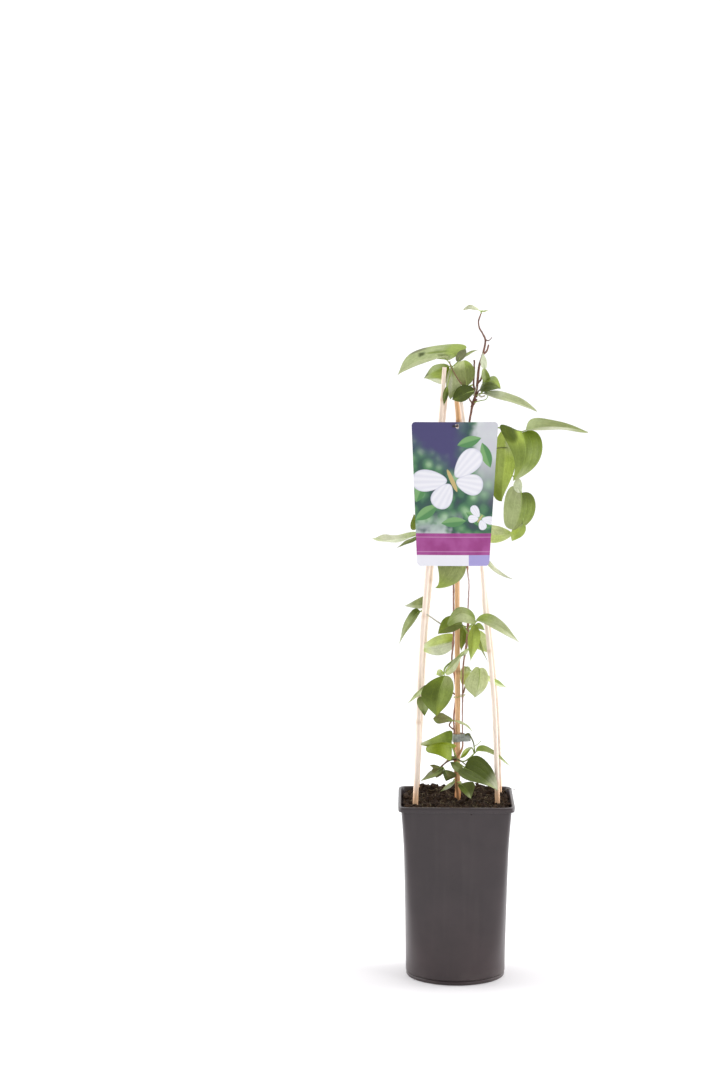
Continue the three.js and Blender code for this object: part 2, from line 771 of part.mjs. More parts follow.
// A dark loop round the centre cane whose neck passes through the label's hole to a small bar.
function makeLabelTie() {
  const cane = { x: 1.2, y: 8.7 };
  const z = LABEL_HOLE.z;
  const ring = [];
  const turns = 12;
  for (let i = 0; i <= turns; i += 1) {
    const angle = -Math.PI / 2 + (2 * Math.PI * i) / turns;
    ring.push([cane.x + LABEL_TIE.loop * Math.cos(angle), cane.y + LABEL_TIE.loop * Math.sin(angle), z + 1]);
  }
  const radiusAt = () => LABEL_TIE.radius;
  const loopA = rod(ring.slice(0, 8), radiusAt, 4, 6);
  const loopB = rod(ring.slice(6), radiusAt, 4, 5);
  const front = labelDepthAt(LABEL_HOLE.x) - LABEL_THICK / 2;
  const neckStart = [LABEL_HOLE.x, front - 1.6, z];
  const neckEnd = [cane.x, cane.y - LABEL_TIE.loop, z + 1];
  const neck = rod([neckStart, [LABEL_HOLE.x, -10, z], neckEnd], radiusAt, 4, 3);
  const barStart = [LABEL_HOLE.x + 1.5, front - 1.5, z];
  const barEnd = [LABEL_HOLE.x - LABEL_TIE.bar, front - 1.5, z - 0.2];
  const bar = rod([barStart, barEnd], () => LABEL_TIE.barRadius, 5, 1);
  return meshOf(fuse([loopA, loopB, neck, bar]), "label_tie", material("tie_dark", 0x2b262b, 0.6));
}

// A strip of grey tape round the centre cane and both stems, its two layers pressed to a tail.
function makeTape() {
  const front = [[-4.4, 9.6], [-3.2, 7.1], [0.5, 6.4], [6, 8.4]];
  const tail = [[TAPE.reach, 9.2], [TAPE.end, 11.2], [TAPE.end - 0.7, 12.4], [TAPE.reach, 11]];
  const back = [[11.2, 12.6], [9.6, 15.2], [5, 18.6], [0, 18.6], [-3.6, 15.6]];
  const shape = new THREE.Shape([...front, ...tail, ...back].map((p) => new THREE.Vector2(p[0], p[1])));
  const inner = [[-3.4, 9.8], [-2.5, 7.9], [0.4, 7.3], [5.8, 9.3], [10.6, 9.9], [10.2, 12.2], [8.9, 14.5],
    [4.7, 17.6], [0.4, 17.6], [-2.6, 15.1]];
  shape.holes.push(new THREE.Path(inner.map((p) => new THREE.Vector2(p[0], p[1]))));
  const strip = new THREE.ExtrudeGeometry(shape, { depth: TAPE.height, bevelEnabled: false });
  strip.translate(0, 0, TAPE.z);
  return meshOf(solidOf(strip), "tape_tie", material("grey_tape", 0x8d9490, 0.55));
}

function makeWireTie() {
  const rings = [];
  for (let i = 0; i < WIRE_TIE.turns; i += 1) {
    const angle = (2 * Math.PI * i) / WIRE_TIE.turns;
    const out = new THREE.Vector3(Math.cos(angle), Math.sin(angle), 0);
    const centre = new THREE.Vector3(
      WIRE_TIE.centre[0] + WIRE_TIE.half[0] * out.x,
      WIRE_TIE.centre[1] + WIRE_TIE.half[1] * out.y,
      WIRE_TIE.z + 1.6 * out.x,
    );
    const ring = [];
    for (let k = 0; k < WIRE_TIE.sides; k += 1) {
      const turn = (2 * Math.PI * k) / WIRE_TIE.sides;
      const point = centre.clone().addScaledVector(out, WIRE_TIE.radius * Math.cos(turn));
      point.z += WIRE_TIE.radius * Math.sin(turn);
      ring.push(point);
    }
    rings.push(ring);
  }
  const points = rings.flat();
  const faces = [];
  const sides = WIRE_TIE.sides;
  for (let i = 0; i < WIRE_TIE.turns; i += 1) {
    for (let k = 0; k < sides; k += 1) {
      const a = i * sides + k;
      const b = i * sides + ((k + 1) % sides);
      const c = ((i + 1) % WIRE_TIE.turns) * sides + ((k + 1) % sides);
      const d = ((i + 1) % WIRE_TIE.turns) * sides + k;
      faces.push(a, d, c, a, c, b);
    }
  }
  return meshOf(solidFrom(points, faces), "wire_tie", material("wire_tie", 0xa7b26a, 0.6));
}

// ---- leaves ----

// Share of the full half width at u along the blade, 0 at the stalk and 1 at the tip.
function spreadAt(u, form, peak, tip) {
  const power = Math.log(0.5) / Math.log(peak);
  const rise = Math.sin(Math.PI * Math.min(0.999, Math.max(0.0005, u)) ** power);
  const sharp = form.base + (tip - form.base) * u;
  return Math.max(0.035, Math.abs(rise) ** sharp);
}

function bladePoint(spec, u, v) {
  const form = FORMS[spec.form];
  const base = vec(spec.base);
  const along = vec(spec.tip).sub(base);
  const length = along.length();
  along.normalize();
  const up = vec(spec.face);
  up.addScaledVector(along, -up.dot(along)).normalize();
  const side = new THREE.Vector3().crossVectors(along, up);
  const spread = spreadAt(u, form, spec.peak ?? form.peak, spec.blunt ?? form.tip);
  const half = (spread * spec.width) / 2;
  const back = (spec.lobe ?? form.lobe) * spread * Math.abs(v) * (1 - u) ** 3;
  const fold = THREE.MathUtils.degToRad(spec.fold ?? 0);
  const bulge = 4 * u * (1 - u) * length;
  const wave = (spec.ripple ?? 0.5) * Math.sin(u * 11 + (v > 0 ? 1.3 : 0)) * Math.abs(v) ** 2 * spread;
  return base
    .addScaledVector(along, (u - back) * length)
    .addScaledVector(side, v * half * Math.cos(fold) + (spec.sweep ?? 0) * bulge)
    .addScaledVector(up, Math.abs(v) * half * Math.sin(fold) + (spec.arch ?? 0.04) * bulge + wave);
}

function bladeNormal(spec, u, v) {
  const step = 0.01;
  const uLow = Math.max(0, u - step);
  const uHigh = Math.min(1, u + step);
  const du = bladePoint(spec, uHigh, v).sub(bladePoint(spec, uLow, v));
  const dv = bladePoint(spec, u, Math.min(1, v + step)).sub(bladePoint(spec, u, Math.max(-1, v - step)));
  return new THREE.Vector3().crossVectors(dv, du).normalize();
}

function bladeSolid(spec) {
  const small = spec.width < SMALL_BLADE;
  const tiny = spec.width < TINY_BLADE;
  const rows = BLADE_ROWS - (small ? 1 : 0) - (tiny ? 1 : 0);
  const columns = small ? 2 : BLADE_COLUMNS;
  const points = [];
  const lower = (rows + 1) * (columns + 1);
  for (const sign of [1, -1]) {
    for (let r = 0; r <= rows; r += 1) {
      for (let c = 0; c <= columns; c += 1) {
        const u = (r / rows) ** ROW_CROWDING;
        const v = (2 * c) / columns - 1;
        const normal = bladeNormal(spec, u, v);
        points.push(bladePoint(spec, u, v).addScaledVector(normal, (sign * BLADE_THICK) / 2));
      }
    }
  }
  const faces = [];
  const quad = (a, b, c, d) => faces.push(a, b, c, a, c, d);
  const at = (r, c) => r * (columns + 1) + c;
  for (let r = 0; r < rows; r += 1) {
    for (let c = 0; c < columns; c += 1) {
      const [a, b, d, e] = [at(r, c), at(r, c + 1), at(r + 1, c + 1), at(r + 1, c)];
      quad(a, b, d, e);
      faces.push(a + lower, d + lower, b + lower, a + lower, e + lower, d + lower);
    }
    quad(at(r, 0), at(r + 1, 0), at(r + 1, 0) + lower, at(r, 0) + lower);
    quad(at(r + 1, columns), at(r, columns), at(r, columns) + lower, at(r + 1, columns) + lower);
  }
  for (let c = 0; c < columns; c += 1) {
    quad(at(0, c + 1), at(0, c), at(0, c) + lower, at(0, c + 1) + lower);
    quad(at(rows, c), at(rows, c + 1), at(rows, c + 1) + lower, at(rows, c) + lower);
  }
  return solidFrom(points, faces);
}

// Stalk from the fork to the blade, run on under the midrib.
function bladeStalk(spec, fork) {
  const root = bladePoint(spec, 0.02, 0);
  const rib = bladePoint(spec, 0.13, 0);
  const line = [fork, root.toArray(), rib.toArray()];
  const near = vec(fork).distanceTo(root) < 1.2;
  const radiusAt = (t) => STALK_RADIUS * (1 - 0.35 * t);
  return near ? rod([fork, rib.toArray()], radiusAt, STALK_SIDES, 1) : rod(line, radiusAt, STALK_SIDES, 2);
}

function makeLeaf(leaf, clearance) {
  const fork = leaf.stalk[leaf.stalk.length - 1];
  const stalkRadius = (t) => STALK_RADIUS * (1.15 - 0.15 * t);
  const parts = [rod(leaf.stalk, stalkRadius, STALK_SIDES, leaf.stalk.length - 1)];
  if (leaf.twig) {
    parts.push(rod(leaf.twig, (t) => 0.7 - 0.2 * t, STALK_SIDES, 4));
  }
  leaf.blades.forEach((spec) => {
    parts.push(bladeSolid(spec));
    parts.push(bladeStalk(spec, spec.fork ?? fork));
  });
  const whole = fuse(parts).subtract(clearance);
  return meshOf(largestBody(whole), leaf.name, material("leaf_green", 0x6f9440, 0.6));
}

function build() {
  const group = new THREE.Group();
  group.name = "clematis_on_canes";
  const clearance = stemSolids(GAP);
  const wideCanes = CANES.map((cane) => caneSolid(cane, GAP, CANE_STEPS));
  group.add(makePot());
  group.add(makeSoil([...wideCanes, clearance]));
  CANES.forEach((cane) => group.add(makeCane(cane)));
  group.add(makeStems());
  group.add(makeLabel());
  group.add(makeLabelTie());
  group.add(makeTape());
  group.add(makeWireTie());
  LEAVES.forEach((leaf) => group.add(makeLeaf(leaf, clearance)));
  return group;
}

export default build();
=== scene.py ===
"""Young clematis on a pyramid of five bamboo canes, in a tall pot with a square mouth.

Lengths in the tables are millimetres, unless a comment says metres, in the frame of the CAD: +Z up, the
label looks along -Y.
"""
import math

import bpy
import numpy as np
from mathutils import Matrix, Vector, noise


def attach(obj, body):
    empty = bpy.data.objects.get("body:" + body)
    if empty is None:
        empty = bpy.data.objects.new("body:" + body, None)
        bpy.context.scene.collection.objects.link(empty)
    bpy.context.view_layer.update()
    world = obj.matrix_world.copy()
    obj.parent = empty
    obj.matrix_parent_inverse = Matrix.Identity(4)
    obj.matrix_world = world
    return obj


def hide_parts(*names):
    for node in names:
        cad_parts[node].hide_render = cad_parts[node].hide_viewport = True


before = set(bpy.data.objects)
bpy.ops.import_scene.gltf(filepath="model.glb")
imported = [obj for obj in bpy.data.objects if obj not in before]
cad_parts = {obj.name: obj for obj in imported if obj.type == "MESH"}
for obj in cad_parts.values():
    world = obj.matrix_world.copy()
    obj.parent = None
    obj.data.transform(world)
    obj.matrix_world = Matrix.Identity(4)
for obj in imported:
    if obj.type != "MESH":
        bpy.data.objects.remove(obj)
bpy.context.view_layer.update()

MM = 0.001

# ---- pot ----
POT_HEIGHT = 216.0
POT_WALL = 1.9
POT_FLOOR = 3.0
POT_SIDES = 192
CORNER_CROWDING = 0.13
ROUND = 2.0
MOUTH_SQUARENESS = 16.0
DRAIN_COUNT = 6
DRAIN_RADIUS = 5.0
DRAIN_RING = 40.0
DRAIN_SIDES = 40
# Height, half width and squareness of the outside, from the ground up.
POT_BODY = [
    (6.2, 59.6, 2.0), (20.0, 59.75, 2.2), (48.0, 60.1, 3.1), (88.0, 60.7, 4.8), (124.0, 61.4, 7.2),
    (160.0, 62.3, 10.5), (186.0, 63.7, 14.0), (209.2, 65.4, 17.0),
]
# Height and half width of the round foot with its groove, and of the square rolled lip.
POT_FOOT = [
    (0.0, 57.4), (0.25, 58.3), (0.9, 58.9), (3.9, 59.1), (4.4, 58.7), (4.8, 58.0), (5.4, 58.1), (5.9, 59.2),
]
POT_LIP = [
    (209.4, 65.5), (209.5, 66.0), (209.55, 67.6), (209.8, 68.5), (210.5, 68.95), (214.7, 69.0),
    (215.5, 68.75), (215.9, 68.1), (POT_HEIGHT, 67.3), (215.9, 66.4), (215.4, 65.75), (214.4, 65.45),
    (213.0, 65.2),
]
# Height above the floor and half width of the inner corner, and the height where the inner wall ends.
INNER_FOOT = [(0.8, 57.4), (0.0, 56.6)]
INNER_TOP = 207.0

# ---- soil ----
SOIL_GAP = 0.35
SOIL_TOP = 208.0
SOIL_LUMP = 3.0
SOIL_BANK = 5.0
SOIL_HEAP = 3.0
SOIL_SEED = 11.0
SOIL_RINGS = (12, 25, 48, 66, 88, 106, 124, 142, 160, 176, 190, 203)
SOIL_RIM = 205.0
SOIL_LEVELS = 46
# Name, number per square metre, seed, least and largest half sizes in metres, fineness and roughness.
SOIL_BITS = [
    ("soil_crumbs", 64000.0, 5, (0.0006, 0.0006, 0.0005), (0.0021, 0.0018, 0.0014), 1, 0.0013),
    ("soil_lumps", 7600.0, 9, (0.0018, 0.0016, 0.0012), (0.0050, 0.0040, 0.0030), 2, 0.0034),
]
FIBRE_COUNT = 230
FIBRE_SEED = 23
FIBRE_SPAN = (-56, 58)
FIBRE_LIMIT = 61
# Least and largest length, lift above the soil, curl in radians and girth of a fibre.
FIBRE_LENGTH, FIBRE_LIFT, FIBRE_CURL, FIBRE_GIRTH = (4, 13), (0.2, 2.4), (-1.2, 1.2), (0.25, 0.6)
# Lines of the longer straws.
LOOSE_STRAWS = [
    [(58, 44, 214), (66, 43, 217.5), (73, 42, 217)], [(-57, 12, 211), (-52, 20, 216), (-47, 27, 219)],
    [(24, 50, 214), (31, 46, 219), (38, 44, 215)],
]
# Centre and foot height, radius, height, rows and sides of the old stump.
STUMP_PLACE = (1.6, -9.0, 203.0)
STUMP_RADIUS = 3.5
STUMP_HEIGHT = 10.5
STUMP_ROWS, STUMP_SIDES = 14, 28

# ---- canes: line above the soil, radius at the butt and at the top, finish ----
CANE_DEPTH = 50.0
CANE_SAMPLES, CANE_SIDES = 130, 28
# In metres: the first cane's joint spacing and start, and how much longer both are for each next cane.
JOINT_SPACING, JOINT_SPACING_STEP = 0.128, 0.011
JOINT_START, JOINT_START_STEP = 0.02, 0.017
CANES = {
    "cane_front_left": dict(
        line=[
            (-48.4, -19, 212), (-45.6, -18, 282), (-43.5, -16, 360),
            (-36.6, -13, 467), (-20, -7, 667), (-15, -5, 731),
        ],
        butt=3.4, top=2.5, slot="bamboo_pale",
    ),
    "cane_back_left": dict(
        line=[
            (-46.5, 44, 212), (-43, 40, 284), (-37.2, 33, 401),
            (-29.6, 25, 491), (-16, 11, 667), (-13, 9, 700),
        ],
        butt=3.1, top=2.3, slot="bamboo_pale",
    ),
    "cane_centre": dict(
        line=[(2.5, 13.5, 212), (2, 13, 331), (1, 12, 467), (1.5, 9, 667), (-2, 8, 706)],
        butt=3.4, top=2.7, slot="bamboo_amber",
    ),
    "cane_front_right": dict(
        line=[
            (49.6, -8, 212), (46, -7, 316), (40.6, -6, 383), (34, -5, 442),
            (30, -4, 494), (8, -1, 667), (3, 0, 698),
        ],
        butt=3.0, top=2.2, slot="bamboo_pale",
    ),
    "cane_back_right": dict(
        line=[
            (54.0, 42, 212), (50.6, 38, 313), (40.4, 32, 416),
            (31.6, 27, 489), (5.6, 18, 667), (1.2, 17, 700),
        ],
        butt=2.9, top=2.3, slot="bamboo_pale",
    ),
}

# ---- climbing stems ----
STEM_LOW = [(3, 3, 170), (3, 3.5, 211), (1, 3.5, 229), (0, 3.5, 245), (0, 3.5, 260)]
STEM_MAIN = [
    (0, 3.5, 260), (4, 7, 266), (8, 12, 274), (8, 12, 290), (8, 12, 336), (9, 11, 378), (12, 10, 396),
    (14, 9, 417), (14, 9, 443), (15, 9, 471), (13, 9, 492), (14, 9, 549), (14, 8, 608), (14, 7, 658),
    (17, 6, 679), (19, 6, 688), (22, 5, 698), (24, 5, 713), (26, 5, 732), (30, 5, 745), (33, 5, 763),
    (30, 4, 770), (26, 4, 777), (25, 4, 785), (28, 4, 794),
]
STEM_SIDE = [
    (0, 3.5, 260), (-1.5, 6.5, 269), (-1.8, 9, 279), (-1.8, 9.2, 292), (-2.6, 14, 308), (0, 20, 337),
    (-2.4, 18, 364), (-5, 15, 378), (-3.6, 13, 400), (-3, 12, 415), (-3.4, 12, 455), (-3.6, 12, 480),
    (-4, 12, 518),
]
# Height and radius along each stem.
LOW_GIRTH = [(170, 2.5), (260, 1.9)]
MAIN_GIRTH = [
    (260, 1.5), (285, 0.8), (336, 0.9), (380, 1.0), (394, 1.5), (422, 1.6), (440, 0.8), (492, 0.7),
    (600, 0.9), (650, 1.0), (690, 1.6), (745, 1.35), (765, 1.0), (794, 0.8),
]
SIDE_GIRTH = [(260, 1.2), (518, 0.85)]
# Line, number of samples and girth of each stem.
STEMS = [(STEM_LOW, 60, LOW_GIRTH), (STEM_MAIN, 420, MAIN_GIRTH), (STEM_SIDE, 220, SIDE_GIRTH)]
STEM_SIDES = 14
# Radius at the foot of each cut stub, and its line.
STEM_STUBS = [
    (1.25, [(22, 5, 698), (19.5, 3, 710), (20, 3, 725), (20, 3, 739)]),
    (1.25, [(24, 5, 711), (28, 7, 716), (31, 8, 727)]),
    (1.25, [(30, 5, 745), (35, 7, 750), (37, 8, 757)]),
    (0.7, [(33, 5, 763), (37, 4, 762), (41, 3, 766)]),
    (1.7, [(17, 5.5, 683), (20, 5, 688), (23, 4.5, 693)]),
    (1.0, [(18, 6, 688), (15.5, 5, 691), (14, 4.5, 695)]),
]
# Place and radius of each knot.
STEM_KNOTS = [
    (0, 3.5, 260, 2.9), (8, 12, 336, 1.5), (14, 9, 417, 2.0), (13, 9, 492, 1.5), (14, 9, 523, 1.6),
    (14, 8, 571, 1.6), (19, 6, 688, 2.2), (33, 5, 763, 1.2), (-4.5, 13, 400, 1.6), (-5, 12, 438, 1.5),
    (-3, 18, 364, 1.6),
]
KNOT_REACH = 2.4

# ---- plant label ----
LABEL_THICK = 0.5
LABEL_TOP = 667.0
LABEL_BOTTOM = 497.0
LABEL_TOP_SPAN = (-54.0, 48.0)
LABEL_BOTTOM_SPAN = (-47.0, 38.0)
LABEL_CORNER = 4.5
LABEL_HOLE = (-0.5, 662.4, 2.1)
LABEL_ROWS, LABEL_COLUMNS = 40, 40
CORNER_ROWS = 9
PUNCH_SIDES = 32
LABEL_DEPTH = -23.0
LABEL_BOW = 3.0
# Heights where the coloured band and the white foot begin, and the middle and reach of the band's two lines.
LABEL_BAND_TOP = 535.65
LABEL_FOOT_TOP = 509.85
LABEL_LINES = (522.5, 8.6)

# ---- ties ----
# Centre and radius of the loop round the middle cane.
TIE_LOOP = (1.2, 8.7, 4.6)
TAPE_ROUTE = [
    (17.6, 11.3), (15, 10.1), (10.5, 9.3), (6, 8.7), (0.5, 6.9), (-2.9, 7.6), (-3.9, 9.8), (-3.1, 15.3),
    (0.2, 18.1), (4.9, 18.1), (9.2, 14.9), (10.9, 12.5), (15, 11.1), (17.3, 12.2),
]
TAPE_FOOT = 281.3
TAPE_WIDTH = 9.4
TAPE_ROWS = 20
TAPE_RIBS = 9
WIRE_CENTRE = (4.2, 12.7, 336.0)
WIRE_REACH = (6.9, 5.3, 1.6)
WIRE_RADIUS = 0.5

# ---- leaves ----
BLADE_THICK = 0.36
STALK_RADIUS = 0.85
STALK_SIDES = 10
# Length of blade for a row of its mesh and width for a column of its half, and the least and most of each.
ROW_STEP, ROW_RANGE = 1.5, (12, 40)
COLUMN_STEP, COLUMN_RANGE = 2.6, (4, 13)
RIB_SAMPLES = 42
RIB_INSET = 0.2
RIB_TIP = 0.14
RIB_PLACES = [0.0, 0.04, 0.1, 0.2, 0.35, 0.5, 0.65, 0.8]
# Step along and across a blade from which its normals are worked out.
NUDGE = 0.004
# Arch and ripple of a blade that doesn't name its own, and its puff and drift as shares of its width.
BLADE_ARCH, BLADE_RIPPLE = 0.04, 0.5
BLADE_PUFF, BLADE_DRIFT = 0.008, 0.012
# Where the widest part lies, how far the base lobes reach back, how blunt base and tip are.
LEAF_FORMS = {
    "heart": dict(peak=0.34, lobe=0.42, base_curve=0.62, blunt=1.15),
    "oval": dict(peak=0.42, lobe=0.08, base_curve=0.7, blunt=1.1),
    "broad": dict(peak=0.32, lobe=0.12, base_curve=0.6, blunt=1.2),
    "lance": dict(peak=0.38, lobe=0.0, base_curve=0.85, blunt=1.3),
}
# Leaf tones by name; the blades use the darker ones also as painted shade and the paler ones also as painted
# highlight.
LEAF_TONES_AND_SHADES = {
    "deep": (67, 80, 6), "dark": (85, 100, 21), "mid": (110, 129, 30), "olive": (112, 122, 61),
    "moss": (122, 139, 59), "fresh": (129, 143, 46), "yellow": (123, 140, 12), "dusty": (139, 149, 90),
    "meadow": (150, 168, 78), "bright": (173, 192, 83), "sage": (165, 177, 121),
    "mist": (165, 173, 125), "pale": (195, 210, 126), "cream": (202, 212, 152),
    "silver": (192, 195, 165), "milky": (216, 223, 192), "bronze": (107, 107, 56),
    "shade": (118, 122, 86),
}
STALK_TONES = {
    "green": (146, 168, 84), "flushed": (118, 84, 62), "brown": (92, 62, 46), "olive": (96, 102, 58),
    "pale": (186, 182, 166),
}


def leaflet(base, tip, face, width, form, **traits):
    """The blade of one leaflet; a trait that isn't given is its form's or the usual one."""
    return dict(base=base, tip=tip, face=face, width=width, form=form, **traits)
